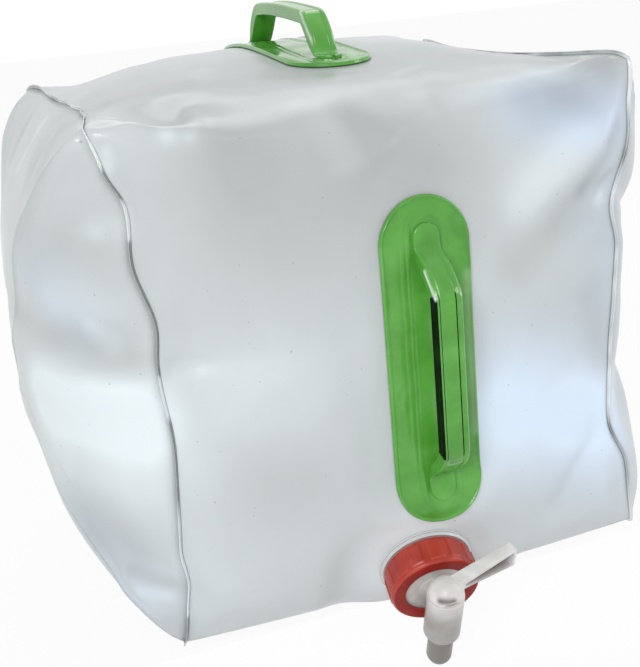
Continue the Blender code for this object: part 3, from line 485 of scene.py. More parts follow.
def seam_puckers(along, away, seed):
    """Waves that start at a seam and fade and widen away from it; both in metres."""
    line = along[:, None]
    phase = PUCKER_WANDER * waves(line, PUCKER_WANDER_LENGTH, seed, count=6)
    swing = PUCKER_SWING * waves(line, PUCKER_SWING_LENGTH, seed + 1, count=6)
    strength = np.clip(PUCKER_STRENGTH + swing, 0.0, PUCKER_MOST)
    total = np.zeros(len(along))
    for length, shift, reach, rise in PUCKERS:
        wave = np.sin(along * 2.0 * math.pi / length + shift * phase)
        total += rise * (wave * np.exp(-away / reach))
    return (1.0 - np.exp(-away / PUCKER_START)) * strength * total


def corner_fans(along, away, seed):
    """Folds that spread from the corners of each side of a seam."""
    total = np.zeros(len(along))
    for corner in range(5):
        across = along - corner * BAG_DEPTH
        distance = np.hypot(across, away)
        angle = np.arctan2(away, np.abs(across)) * np.sign(across + TINY)
        broad = np.sin(angle * BROAD_FOLDS + seed + corner * FOLD_TURN)
        folds = broad + FINE_FOLD_SHARE * np.sin(angle * FINE_FOLDS + 2.0 * seed)
        for peak, rise in FANS:
            total += folds * (rise * (distance / peak * np.exp(1.0 - distance / peak)))
    return total


# Finer creases that the photograph shows: start and end in mm, rise and width in mm. Each has
# the first share of its rise at its ends, and both shares in its middle
CREASE_ENDS, CREASE_MIDDLE = 0.7, 0.3
CREASES = (
    ((-139, -118, 287), (-111, -128, 274), 1.5, 3.6),
    ((-111, -128, 274), (-93, -122, 277), 1.2, 4.0), ((-93, -122, 277), (-88, -96, 285), 1.0, 4.5),
    ((-128, -122, 283), (-118, -118, 286), -1.0, 3.5),
    ((-159, -37, 235), (-143, -115, 243), 1.0, 6.0), ((-152, 12, 252), (-140, 22, 262), 1.2, 11.0),
    ((-120, -127, 174), (-62, -142, 167), -0.8, 9.0), ((26, -125, 271), (-4, -136, 257), 0.9, 4.5),
    ((-4, -136, 256), (-26, -139, 251), 0.9, 5.0), ((14, -130, 262), (4, -134, 254), -1.0, 5.5),
    ((140, -130, 268), (113, -133, 240), 1.3, 5.0), ((113, -133, 240), (78, -140, 220), 1.0, 6.5),
    ((127, -130, 264), (95, -134, 259), 0.9, 5.0), ((132, -127, 224), (118, -130, 216), -1.2, 4.0),
    ((118, -130, 216), (90, -138, 200), 0.8, 5.0), ((122, -130, 75), (98, -136, 60), -1.2, 5.5),
    ((98, -136, 60), (88, -136, 44), -0.8, 6.0), ((-151, -108, 47), (-131, -127, 50), 1.2, 5.5),
    ((-121, -130, 51), (-92, -133, 29), 0.9, 7.0), ((-148, -108, 36), (-134, -122, 30), -0.8, 6.0),
    ((-172, -60, 176), (-134, -122, 178), -0.7, 10.0), ((120, -130, 46), (96, -134, 28), 0.9, 6.0),
    ((118, 96, 288), (84, 70, 296), 1.0, 7.0), ((-118, 88, 287), (-86, 66, 295), 1.1, 7.0),
    ((136, 120, 236), (104, 132, 214), 1.2, 7.0), ((-130, 124, 232), (-96, 134, 208), 1.3, 7.0),
    ((-128, 126, 70), (-92, 136, 44), -1.1, 7.0), ((128, 126, 66), (96, 135, 40), 1.1, 7.0),
    ((158, -40, 236), (150, 40, 248), -0.9, 9.0), ((150, -104, 60), (166, -60, 74), 1.1, 8.0),
)


def fine_relief(points, along, away, seed):
    """Small creases, puckers along the seams and slow unevenness of the film."""
    relief = sum(rise * waves(points, length, draw) for rise, length, draw in UNEVENNESS)
    relief *= smoothstep(away / UNEVEN_FROM_SEAM)
    for start, end, rise, width in CREASES:
        distance, share = line_distance(points, np.array(start) * MM, np.array(end) * MM)
        swell = CREASE_ENDS + CREASE_MIDDLE * np.sin(math.pi * share)
        relief += rise * MM * bell(distance, width * MM) * swell
    return relief + seam_puckers(along, away, seed) + corner_fans(along, away, seed)


def film_relief(points, along, away, seed):
    free = smoothstep(away / FINE_FROM_SEAM)
    relief = main_relief(points) * smoothstep(away / CALM_RUN)
    return (relief + fine_relief(points, along, away, seed) * free) * calm(points)


def seam_wave(v, side):
    """Small sideways waves of the welded seam itself, none at its corners."""
    line = v[:, None] * BAG_DEPTH
    bow = loop_places(v)[2]
    seed = 31 if side < 0 else 32
    return SEAM_WAVE_RISE * waves(line, SEAM_WAVE_LENGTH, seed, count=8) * smoothstep(bow * 2.5)


def wrap_film(material):
    """Base, front, top and back in one strip of film, with the hole for the neck."""
    rows, columns = COLUMNS + 1, 4 * SIDE_STEPS
    edge = np.linspace(-1.0, 1.0, rows)
    edge = np.sign(edge) * (1.0 - (1.0 - np.abs(edge)) ** EDGE_CROWDING)
    u, v = np.meshgrid(edge, np.arange(columns) / SIDE_STEPS, indexing="ij")
    u, v = u.ravel(), v.ravel()
    base = film_places(u, v)
    normals = grid_normals(base, rows, columns, close_columns=True)
    away = (1.0 - np.abs(u)) * BAG_WIDTH / 2
    along = v * BAG_DEPTH
    right = smoothstep(0.5 + u * HALVES_BLEND)
    relief = (film_relief(base, along, away, LEFT_SEED) * (1.0 - right)
              + film_relief(base, along, away, RIGHT_SEED) * right)
    points = base + normals * relief[:, None]
    for side in (-1.0, 1.0):
        hold = np.exp(-np.abs(u - side) * BAG_WIDTH / 2 / SEAM_WAVE_HOLD)
        points[:, 0] += hold * seam_wave(v, side)
    points[:, 2] = np.maximum(points[:, 2], 0.0)
    quads = quad_grid(rows, columns, close_columns=True)
    reach, local = neck_reach(points)
    inside = (reach < NECK_BORE_RADIUS) & (np.abs(local[:, 2]) < FLANGE_RADIUS)
    kept = quads[~inside[quads].any(axis=1)]
    lost = quads[inside[quads].any(axis=1)]
    border = np.intersect1d(kept.ravel(), lost.ravel())
    local[border, :2] *= (NECK_BORE_RADIUS / reach[border])[:, None]
    points[border] = transformed(local[border], neck_matrix())
    inner = points - grid_normals(points, rows, columns, close_columns=True) * FILM
    used = np.unique(kept)
    number = np.full(len(points), -1)
    number[used] = np.arange(len(used))
    piece = shell("wrap_film", points[used], inner[used], number[kept], material)
    return piece, base, quads


def ring_normals(loop, lean):
    """Mitred outward directions round a seam, leant half way to X where lean is set."""
    before = loop - np.roll(loop, 1, axis=0)
    after = np.roll(loop, -1, axis=0) - loop
    first = np.stack([np.zeros(len(loop)), -before[:, 2], before[:, 1]], 1)
    second = np.stack([np.zeros(len(loop)), -after[:, 2], after[:, 1]], 1)
    first /= np.linalg.norm(first, axis=1, keepdims=True)
    second /= np.linalg.norm(second, axis=1, keepdims=True)
    outward = (first + second) / (1.0 + np.sum(first * second, axis=1))[:, None]
    outward[:, 0] = lean
    return outward / math.hypot(1.0, lean)


def end_film(name, side, swell, seed, material):
    """A domed end of the bag: rings that turn from the seam's outline into a circle."""
    count = 4 * SIDE_STEPS
    v = np.arange(count) / SIDE_STEPS
    seam = seam_places(v, side)
    seam[:, 0] += seam_wave(v, side) + side * FILM
    centre = seam.mean(axis=0)
    shares = np.linspace(1.0, 0.0, DOME_RINGS + 1)[:-1] ** RING_CROWDING
    turns = np.fft.rfft(seam - centre, axis=0)
    order = np.arange(len(turns))[:, None]
    rows = []
    for share in shares:
        soften = np.exp(-0.5 * (RING_SOFTENING * (1.0 - share) * order) ** 2)
        outward = np.fft.irfft(turns * soften, count, axis=0)
        length = np.linalg.norm(outward, axis=1, keepdims=True)
        circle = outward / length * BAG_HEIGHT / 2
        row = centre + (circle + (outward - circle) * share) * share
        rise = swell * max(1.0 - share ** DOME_POWER, 0.0) ** DOME_FULLNESS
        row[:, 0] = centre[0] + (seam[:, 0] - centre[0]) * share ** 2 + side * rise
        row[:, 2] -= SIDE_SLUMP * (1.0 - share)
        rows.append(row)
    rings = len(rows)
    base = np.concatenate(rows)
    share = np.repeat(shares, count)
    normals = grid_normals(base, rings, count, close_columns=True)
    outward_sign = np.sign(normals[-1, 0] * side)
    normals *= outward_sign
    away = (1.0 - share) * BAG_HEIGHT / 2
    relief = film_relief(base, np.tile(v, rings) * BAG_DEPTH, away, seed)
    points = base + normals * relief[:, None]
    points[:, 2] = np.maximum(points[:, 2], SIDE_CLEARANCE)
    inner = points - normals * FILM
    tip = points[-count:].mean(axis=0)
    tip[0] = points[-count:, 0].mean() + side * SIDE_TIP_RISE
    quads = quad_grid(rings, count, close_columns=True)
    if outward_sign < 0.0:
        quads = quads[:, ::-1]
    outer = np.concatenate([points, tip[None]])
    inner = np.concatenate([inner, (tip - np.array([side * FILM, 0.0, 0.0]))[None]])
    last = (rings - 1) * count + np.arange(count)
    fan = np.stack([last, np.full(count, len(points)), np.roll(last, -1)], 1)
    if outward_sign < 0.0:
        fan = fan[:, ::-1]
    return closed_dome(name, outer, inner, quads, fan, count, material)


def closed_dome(name, outer, inner, quads, fan, count, material):
    """Both skins of an end film, joined along its outer edge."""
    shift = len(outer)
    faces = [tuple(face) for face in (*quads, *fan)]
    faces += [tuple(reversed(face + shift)) for face in (*quads, *fan)]
    forward = (0, 1) in {(quads[0][i], quads[0][(i + 1) % 4]) for i in range(4)}
    for index in range(count):
        after = (index + 1) % count
        first, last = (index, after) if forward else (after, index)
        faces.append((last, first, first + shift, last + shift))
    return object_from(name, np.concatenate([outer, inner]), faces, material)


# Section of the welded seam: length and thickness of the fin, how far it leans, and its pressed
# lines as place along the fin, width and share of the ridge's height
WELD_STEPS = 15
WELD_LENGTH = 2.1 * MM
WELD_THICKNESS = 0.5 * MM
WELD_RIDGE = 0.14 * MM
WELD_LINES = ((0.3, 0.1, 1.0), (0.78, 0.12, 1.0), (0.54, 0.08, -0.6))
# Rows of the section whose faces take the second material, a painted shade line
WELD_PAINTED_SHADE_ROWS = (1, 2, 3, 6, 7, 8, 9)
WELD_TAPER = 0.2
WELD_CLEARANCE = 0.2 * MM
WELD_LEAN = 0.85
WELD_LEAN_SWING = 0.10
WELD_LENGTH_SWING = 0.05
WELD_LEAN_LOST_ON_TOP = 0.8
# The top lies from 2 to 3 sides along the seam; the lean changes over TOP_TURN of a side
TOP_START, TOP_END, TOP_TURN = 1.96, 3.04, 0.06


def seam_weld(name, side, light, dark):
    """The two film edges welded into one thin fin, with the pressed lines of the welding bar; the
    faces between them take the second material, a painted shade line.
    """
    count = 4 * SIDE_STEPS * 2
    v = np.arange(count) / (2 * SIDE_STEPS)
    seam = seam_places(v, side)
    seam[:, 0] += seam_wave(v, side) + side * FILM / 2
    line = v[:, None] * BAG_DEPTH
    seed = 51 if side < 0 else 52
    on_top = smoothstep((v - TOP_START) / TOP_TURN) * smoothstep((TOP_END - v) / TOP_TURN)
    swing = WELD_LEAN_SWING * waves(line, 0.08, seed, count=8)
    lean = side * (WELD_LEAN - WELD_LEAN_LOST_ON_TOP * on_top + swing)
    fins = ring_normals(seam, 0.0)
    fins[:, 0] = lean
    fins /= np.hypot(1.0, lean)[:, None]
    across = np.stack([np.full(count, side), -fins[:, 1], -fins[:, 2]], 1)
    across /= np.linalg.norm(across, axis=1, keepdims=True)
    swing = WELD_LENGTH_SWING * waves(line, 0.04, seed + 2, count=8)
    length = WELD_LENGTH * (1.0 + swing)[:, None]
    section = []
    for step in range(WELD_STEPS):
        t = step / (WELD_STEPS - 1)
        ridge = WELD_RIDGE * sum(share * bell(t - at, width) for at, width, share in WELD_LINES)
        section.append((t, WELD_THICKNESS / 2 * (1.0 - WELD_TAPER * t) + ridge))
    rows = [seam + fins * length * t + across * half for t, half in section]
    rows += [seam + fins * length * t - across * half for t, half in reversed(section)]
    points = np.stack(rows, 0)
    points[:, :, 2] = np.maximum(points[:, :, 2], WELD_CLEARANCE)
    quads = quad_grid(len(rows), count, close_rows=True, close_columns=True)
    if side > 0:
        quads = quads[:, ::-1]
    item = object_from(name, points.reshape(-1, 3), quads, light)
    item.data.materials.append(dark)
    # The valley rows between the pressed lines get the painted shade line
    row = np.arange(len(quads)) // count
    shaded_valley = np.isin(np.minimum(row, len(rows) - 2 - row), WELD_PAINTED_SHADE_ROWS)
    item.data.polygons.foreach_set("material_index", shaded_valley.astype(np.int32))
    return item


# Handles

class Seat:
    """Places on the smooth film of the front or the top, by x and by z or y."""

    def __init__(self, points, quads, toward, axis):
        self.tree = BVHTree.FromPolygons([tuple(p) for p in points], [tuple(q) for q in quads])
        self.toward = Vector(toward)
        self.axis = axis

    def point(self, x, along):
        start = Vector((x, 0.0, 0.0)) - self.toward * 0.6
        start[self.axis] = along
        place, _, _, _ = self.tree.ray_cast(start, self.toward)
        return place

    def frame(self, x, along):
        probe = 6.0 * MM
        here = self.point(x, along)
        across = self.point(x + probe, along) - self.point(x - probe, along)
        up = self.point(x, along + probe) - self.point(x, along - probe)
        return here, across.cross(up).normalized()


def rounded_box_depth(across, along, half_width, half_length, radius):
    """How far inside a rectangle with rounded corners a place lies."""
    x = np.abs(across) - (half_width - radius)
    y = np.abs(along) - (half_length - radius)
    outside = np.hypot(np.maximum(x, 0.0), np.maximum(y, 0.0))
    return radius - outside - np.minimum(np.maximum(x, y), 0.0)


# Grid of a handle's plate: rows of each round end, rows between them, columns and their spread
PLATE_END_ROWS = 22
PLATE_MIDDLE_ROWS = 118
PLATE_COLUMNS = 57
PLATE_SPREAD = 0.86
# Plate of a handle: rim, bead round the strap with a groove inside it, outer bead and dents
PLATE_RIM = 0.9 * MM
PLATE_RIM_WIDTH = 1.0 * MM
PLATE_RIM_FALL = 1.2 * MM
PLATE_BEAD = 0.8 * MM
PLATE_BEAD_WIDTH = 0.5 * MM
PLATE_GROOVE = 0.3 * MM
PLATE_GROOVE_IN = 1.3 * MM
PLATE_GROOVE_WIDTH = 0.6 * MM
PLATE_OUTER_BEAD = 0.35 * MM
PLATE_OUTER_BEAD_WIDTH = 0.6 * MM
PLATE_DENTS = 0.22 * MM
PLATE_DENT_LENGTH = 0.026
PLATE_DENT_SEED = 71
PLATE_DENTS_IN = 4.0 * MM
PLATE_EDGE_ROUND = 0.5 * MM
PLATE_EDGE_RUN = 0.7 * MM
# Half width, half length and corner radius of the two beads
INNER_BEAD_SIZE = (9.2 * MM, 78.5 * MM, 8.4 * MM)
OUTER_BEAD_SIZE = (12.6 * MM, 80.5 * MM, 11.0 * MM)


def plate_surface(across, along):
    """Height of a handle's plate over its seat."""
    depth = stadium_depth(across, along, HANDLE_LENGTH / 2, HANDLE_WIDTH / 2)
    rim = PLATE_RIM * (smoothstep(depth / PLATE_RIM_WIDTH)
                       - smoothstep((depth - PLATE_RIM_WIDTH) / PLATE_RIM_FALL))
    line = rounded_box_depth(across, along, *INNER_BEAD_SIZE)
    pressed = (PLATE_BEAD * bell(line, PLATE_BEAD_WIDTH)
               - PLATE_GROOVE * bell(line - PLATE_GROOVE_IN, PLATE_GROOVE_WIDTH))
    outer = rounded_box_depth(across, along, *OUTER_BEAD_SIZE)
    pressed += PLATE_OUTER_BEAD * bell(outer, PLATE_OUTER_BEAD_WIDTH)
    places = np.stack([across, along], 1)
    dents = PLATE_DENTS * waves(places, PLATE_DENT_LENGTH, PLATE_DENT_SEED)
    dents *= smoothstep(depth / PLATE_DENTS_IN)
    round_edge = PLATE_EDGE_ROUND * (1.0 - smoothstep(depth / PLATE_EDGE_RUN))
    return HANDLE_PLATE + rim + pressed + dents - round_edge


def handle_plate(name, seat, centre, material):
    """Round-ended plate laid on the film as a grid whose rows narrow towards both ends."""
    radius = HANDLE_WIDTH / 2
    straight = HANDLE_LENGTH / 2 - radius
    turn = np.linspace(0.02, 1.0, PLATE_END_ROWS) * QUARTER_TURN
    ends = -straight - radius * np.cos(turn)
    middle = np.linspace(-straight, straight, PLATE_MIDDLE_ROWS)[1:-1]
    along = np.concatenate([ends, middle, -ends[::-1]])
    past = np.maximum(np.abs(along) - straight, 0.0)
    half = np.sqrt(np.maximum(radius ** 2 - past ** 2, 0.0))
    spread = QUARTER_TURN * PLATE_SPREAD
    shares = np.sin(np.linspace(-1.0, 1.0, PLATE_COLUMNS) * spread) / math.sin(spread)
    rows, columns = len(along), len(shares)
    across = (half[:, None] * shares[None, :]).ravel()
    run = np.repeat(along, columns)
    heights = plate_surface(across, run)
    top, bottom = [], []
    for x, y, height in zip(across, run, heights):
        here, outward = seat.frame(centre[0] + x, centre[1] + y)
        top.append(here + outward * (HANDLE_SEAT + height))
        bottom.append(here + outward * HANDLE_SEAT)
    top, bottom = np.array(top), np.array(bottom)
    quads = quad_grid(rows, columns)
    if np.cross(top[1] - top[0], top[columns] - top[0]) @ (top[0] - bottom[0]) > 0.0:
        quads = quads[:, ::-1]
    return shell(name, top, bottom, quads, material)


# Section of the strap: its beads, the slit beside one bead, the grooves of its sides, and the
# painted shade line between two distances from its left edge; slit, left edge and sides take
# painted shade too
STRAP_CORNER = 0.8 * MM
STRAP_BEAD = 0.5 * MM
STRAP_BEAD_IN = 1.7 * MM
STRAP_BEAD_WIDTH = 0.9 * MM
SLIT_DEPTH = 0.55 * MM
SLIT_IN = 3.3 * MM
SLIT_WIDTH = 0.42 * MM
# Half width of the painted shade along the slit
SLIT_PAINTED_SHADE = 0.4 * MM
SIDE_GROOVE = 0.3 * MM
SIDE_GROOVES = 3.0
PAINTED_SHADE_EDGE = 0.15 * MM
PAINTED_SHADE_LINE = (0.9 * MM, 1.3 * MM)


def strap_section(half_width, half_depth):
    """The strap's section, and which of its faces take the painted shade."""
    full = 2.0 * half_depth / STRAP_DEPTH
    deep = full > 0.7
    corner = min(STRAP_CORNER, 0.5 * half_depth)
    inner = half_width - corner
    section, dark = [], []
    for x in np.linspace(1.0, -1.0, 33) * inner:
        bead = STRAP_BEAD * bell(abs(x) - (half_width - STRAP_BEAD_IN), STRAP_BEAD_WIDTH)
        from_slit = x - (half_width - SLIT_IN)
        slit = SLIT_DEPTH * full * bell(from_slit, SLIT_WIDTH)
        section.append((x, half_depth + full * bead - slit))
        edge = x + inner
        dark.append(deep and (abs(from_slit) < SLIT_PAINTED_SHADE or edge < PAINTED_SHADE_EDGE
                              or PAINTED_SHADE_LINE[0] < edge < PAINTED_SHADE_LINE[1]))
    side_half = half_depth - corner
    grooved = [(half_width - SIDE_GROOVE * full * math.sin(share * math.pi * SIDE_GROOVES) ** 2,
                (1.0 - 2.0 * share) * side_half) for share in np.linspace(0.0, 1.0, 11)[1:-1]]
    section += [(-half_width, side_half)] + [(-x, height) for x, height in grooved]
    section += [(-half_width, -side_half), (-inner, -half_depth), (0.0, -half_depth),
                (inner, -half_depth), (half_width, -side_half)]
    section += [(x, -height) for x, height in grooved] + [(half_width, side_half)]
    dark += [deep] * 10 + [False] * 4 + [deep] * 10 + [False]
    return section, dark


def strap_line():
    """The strap's middle line as (place along it, height over the film, depth, half width)."""
    floor = HANDLE_SEAT + HANDLE_PLATE + STRAP_SEAT
    half_span = STRAP_SPAN / 2
    bend = half_span - STRAP_FINE_RUN
    level = np.linspace(MM - bend, bend - MM, STRAP_MIDDLE_STEPS)
    end = np.linspace(bend, half_span, STRAP_END_STEPS)
    start = np.linspace(-half_span, -bend, STRAP_END_STEPS)
    line = []
    for along in np.concatenate([start, level, end]):
        past_end = half_span - abs(along)
        past_foot = past_end - STRAP_FOOT_LENGTH
        rise = STRAP_CLEAR_HEIGHT * float(smoothstep(past_foot / STRAP_LEG_RUN))
        depth = STRAP_FOOT_DEPTH + (STRAP_DEPTH - STRAP_FOOT_DEPTH) * float(
            smoothstep(2.0 * past_foot / STRAP_LEG_RUN))
        share = min(past_end / STRAP_FOOT_ROUND, 1.0)
        half = STRAP_WIDTH / 2 * max(math.sqrt(1.0 - (1.0 - share) ** 2), STRAP_TIP_SHARE)
        line.append((along, floor + rise + depth / 2, depth, half))
    return line


def handle_strap(name, seat, centre, material, shade):
    """Deep flexible grip with two flat D-shaped feet; its slits and sides take the shade material,
    a near-black painted shade on the front strap.
    """
    line = strap_line()
    rings, shaded = [], []
    for index, (along, out, depth, half) in enumerate(line):
        before, after = line[max(index - 1, 0)], line[min(index + 1, len(line) - 1)]
        run = Vector((after[0] - before[0], after[1] - before[1])).normalized()
        section, dark = strap_section(half, depth / 2)
        flat = abs(run.y) < 0.35
        ring = []
        for side, lift in section:
            here, outward = seat.frame(centre[0], centre[1] + along - run.y * lift)
            ring.append(here + outward * (out + run.x * lift) + Vector((side, 0.0, 0.0)))
        rings.append(ring)
        shaded.append([is_dark and flat for is_dark in dark])
    points = np.array(rings)
    count = points.shape[1]
    quads = quad_grid(len(rings), count, close_columns=True)
    index = np.array(shaded[:-1]).astype(np.int32).ravel()
    faces = [tuple(q) for q in quads]
    faces.append(tuple(range(count))[::-1])
    faces.append(tuple((len(rings) - 1) * count + i for i in range(count)))
    ring, after = points[len(rings) // 2], points[len(rings) // 2 + 1]
    outward = ring[0] - ring.mean(axis=0)
    normal = np.cross(after[0] - ring[0], ring[1] - ring[0])
    if normal @ outward < 0.0:
        faces = [tuple(reversed(face)) for face in faces]
    item = object_from(name, points.reshape(-1, 3), faces, material)
    item.data.materials.append(shade)
    item.data.polygons.foreach_set("material_index", np.append(index, (0, 0)))
    return item


# Neck and ring

def lathe(name, profile, steps, matrix, material, shape=None):
    """A closed profile of (radius, height) turned about Z; shape may change the radii."""
    profile = np.array(profile)
    angle = np.arange(steps) * 2.0 * math.pi / steps
    radius = np.repeat(profile[:, 0], steps)
    height = np.repeat(profile[:, 1], steps)
    angles = np.tile(angle, len(profile))
    if shape:
        radius = shape(radius, height, angles)
    points = np.stack([radius * np.cos(angles), radius * np.sin(angles), height], 1)
    quads = quad_grid(len(profile), steps, close_rows=True, close_columns=True)
    return object_from(name, transformed(points, matrix), quads, material)


def dense(profile, step):
    """Points along a closed profile no further apart than the step."""
    result = []
    for start, end in zip(profile, profile[1:] + profile[:1]):
        start, end = np.array(start), np.array(end)
        pieces = max(int(math.ceil(np.linalg.norm(end - start) / step)), 1)
        result += [tuple(start + (end - start) * i / pieces) for i in range(pieces)]
    return result


def filleted(corners, radius, steps=4):
    """A closed profile whose corners are rounded."""
    result = []
    count = len(corners)
    for index, corner in enumerate(corners):
        corner = np.array(corner)
        before = np.array(corners[index - 1]) - corner
        after = np.array(corners[(index + 1) % count]) - corner
        reach = min(radius, 0.45 * np.linalg.norm(before), 0.45 * np.linalg.norm(after))
        first = corner + before / np.linalg.norm(before) * reach
        last = corner + after / np.linalg.norm(after) * reach
        for step in range(steps + 1):
            t = step / steps
            result.append(tuple((1 - t) ** 2 * first + 2 * t * (1 - t) * corner + t ** 2 * last))
    return result


def thread_rise(height, angle, start):
    """Height of a right-handed thread's ridge at a place, as a share of its full height."""
    turns = angle / (2.0 * math.pi)
    rise = np.zeros_like(height)
    for turn in range(THREAD_TURNS):
        centre = start + THREAD_PITCH * (turns + turn)
        ridge = THREAD_FOOT - np.abs(height - centre) / THREAD_FLANK
        rise = np.maximum(rise, np.clip(ridge, 0.0, 1.0))
    return rise * smoothstep((height - start + THREAD_RUN_IN) / THREAD_FADE)


def spout_neck(material):
    """Flange, collar and threaded neck."""
    corners = [
        (NECK_BORE_RADIUS, NECK_HEIGHT), (NECK_BORE_RADIUS, NECK_BASE), (FLANGE_RADIUS, NECK_BASE),
        (FLANGE_RADIUS, FLANGE_TOP), (COLLAR_RADIUS + COLLAR_TAPER, COLLAR_FOOT),
        (COLLAR_RADIUS, COLLAR_TOP), (NECK_CORE_RADIUS, COLLAR_TOP),
        (NECK_CORE_RADIUS, NECK_HEIGHT),
    ]
    profile = dense(filleted(corners, radius=0.35 * MM), step=0.45 * MM)

    def threaded(radius, height, angle):
        outside = (np.abs(radius - NECK_CORE_RADIUS) < ON_WALL) & (height > COLLAR_TOP + 0.4 * MM)
        rise = THREAD_HEIGHT * thread_rise(height, angle, THREAD_START)
        return radius + np.where(outside, rise, 0.0)

    return lathe("neck_body", profile, NECK_STEPS, neck_matrix(), material, threaded)


def screw_ring(material, front):
    """The ring with its raised panels and inner thread; its front face takes a darker red, painted
    shade.
    """
    corners = [
        (RING_HOLE_RADIUS, RING_FRONT), (RING_HOLE_RADIUS, RING_LIP_LOW),
        (RING_BORE_RADIUS, RING_LIP_LOW), (RING_BORE_RADIUS, RING_BACK),
        (RING_OUTER_RADIUS, RING_BACK), (RING_OUTER_RADIUS, RING_FRONT - RING_BEVEL),
        (RING_OUTER_RADIUS - RING_BEVEL, RING_FRONT),
    ]
    profile = dense(filleted(corners, radius=0.5 * MM), step=0.4 * MM)
    low, high = RING_BACK + RING_PANEL_INSET[0], RING_FRONT - RING_PANEL_INSET[1]

    def panelled(radius, height, angle):
        share = (angle / (2.0 * math.pi) * RING_PANELS) % 1.0
        edge, fade = 0.05, 0.7 * MM
        start, end = RING_PANEL_SHARE
        window = smoothstep((share - start) / edge) * smoothstep((end - share) / edge)
        band = smoothstep((height - low) / fade) * smoothstep((high - height) / fade)
        outside = radius > RING_OUTER_RADIUS - ON_WALL
        panels = np.where(outside, RING_PANEL_RISE * window * band, 0.0)
        inside = np.abs(radius - RING_BORE_RADIUS) < ON_WALL
        within = inside & (height > RING_THREAD_SPAN[0]) & (height < RING_THREAD_SPAN[1])
        rise = THREAD_HEIGHT * thread_rise(height, angle, THREAD_START + THREAD_PITCH / 2)
        return radius + panels - np.where(within, rise, 0.0)

    item = lathe("screw_ring", profile, RING_STEPS, neck_matrix(), material, panelled)
    item.data.materials.append(front)
    # Faces of the front face get the second material, the darker red of painted shade
    outward = neck_matrix().to_3x3() @ Vector((0.0, 0.0, 1.0))
    for polygon in item.data.polygons:
        height = (polygon.center - Vector(NECK_PLACE)).dot(outward)
        polygon.material_index = int(height > RING_FRONT - RING_FRONT_DEPTH)
    return item


# Tap

def raw_object(name, points, faces):
    mesh = bpy.data.meshes.new(name)
    mesh.from_pydata(points, [], faces)
    return linked(name, mesh)


def solid(name, profile, steps=96):
    """A turned solid from a profile that starts and ends on the axis."""
    angle = np.arange(steps) * 2.0 * math.pi / steps
    inner = profile[1:-1]
    points = [(0.0, 0.0, profile[0][1]), (0.0, 0.0, profile[-1][1])]
    for radius, height in inner:
        points += [(radius * math.cos(a), radius * math.sin(a), height) for a in angle]
    faces = [tuple(2 + i for i in q) for q in quad_grid(len(inner), steps, close_columns=True)]
    last = 2 + (len(inner) - 1) * steps
    for i in range(steps):
        j = (i + 1) % steps
        faces += [(0, 2 + i, 2 + j), (1, last + j, last + i)]
    return raw_object(name, points, faces)


def cylinder(name, radius, low, high, steps=96):
    return solid(name, ((0, high), (radius, high), (radius, low), (0, low)), steps)


def rectangle(x, y_low, y_high, z_low, z_high):
    """Corners of one end of a bar along X."""
    return [(x, y_low, z_low), (x, y_high, z_low), (x, y_high, z_high), (x, y_low, z_high)]


def bar(name, first_end, last_end):
    """A solid between two rectangles."""
    faces = [(3, 2, 1, 0), (4, 5, 6, 7)]
    faces += [(i, (i + 1) % 4, 4 + (i + 1) % 4, 4 + i) for i in range(4)]
    return raw_object(name, first_end + last_end, faces)


def combined(base, tools, voxel):
    """Unite and cut solids, then round the result as a moulding is."""
    for tool, operation in tools:
        step = base.modifiers.new(operation.lower(), "BOOLEAN")
        step.operation = operation
        step.solver = "EXACT"
        step.object = tool
    remesh = base.modifiers.new("remesh", "REMESH")
    remesh.mode = "VOXEL"
    remesh.voxel_size = voxel
    remesh.use_smooth_shade = True
    soften = base.modifiers.new("soften", "SMOOTH")
    soften.factor = 0.5
    soften.iterations = SMOOTHING
    bpy.context.view_layer.update()
    depsgraph = bpy.context.evaluated_depsgraph_get()
    mesh = bpy.data.meshes.new_from_object(base.evaluated_get(depsgraph))
    for item in [base] + [tool for tool, _ in tools]:
        bpy.data.objects.remove(item, do_unlink=True)
    return mesh


def placed(name, mesh, matrix, material):
    mesh.transform(matrix)
    mesh.shade_smooth()
    mesh.materials.clear()
    mesh.materials.append(material)
    return linked(name, mesh)


def moved(item, matrix):
    item.data.transform(matrix)
    return item


def tap_housing(material):
    """Disc, barrel and sleeve, modelled in the sleeve's frame."""
    to_neck = tap_matrix().inverted() @ neck_matrix()
    sleeve = solid("sleeve", ((0, SLEEVE_RISE), (SLEEVE_RADIUS, SLEEVE_RISE),
                              (SLEEVE_RADIUS, -SLEEVE_DROP + SLEEVE_BEVEL[1]),
                              (SLEEVE_RADIUS - SLEEVE_BEVEL[0], -SLEEVE_DROP),
                              (0, -SLEEVE_DROP)))
    disc = cylinder("disc", DISC_RADIUS, DISC_LOW, DISC_LOW + DISC_THICKNESS, 144)
    barrel = cylinder("barrel", BARREL_RADIUS, DISC_LOW + BARREL_IN_DISC, SLEEVE_DISTANCE)
    inlet = cylinder("inlet", BARREL_BORE_RADIUS, 0.0, SLEEVE_DISTANCE)
    for part in (disc, barrel, inlet):
        moved(part, to_neck)
    bore = cylinder("bore", SLEEVE_BORE_RADIUS, -SLEEVE_CUT, SLEEVE_CUT)
    mesh = combined(sleeve, ((disc, "UNION"), (barrel, "UNION"), (bore, "DIFFERENCE"),
                             (inlet, "DIFFERENCE")), HOUSING_VOXEL)
    return placed("tap_housing", mesh, tap_matrix(), material)


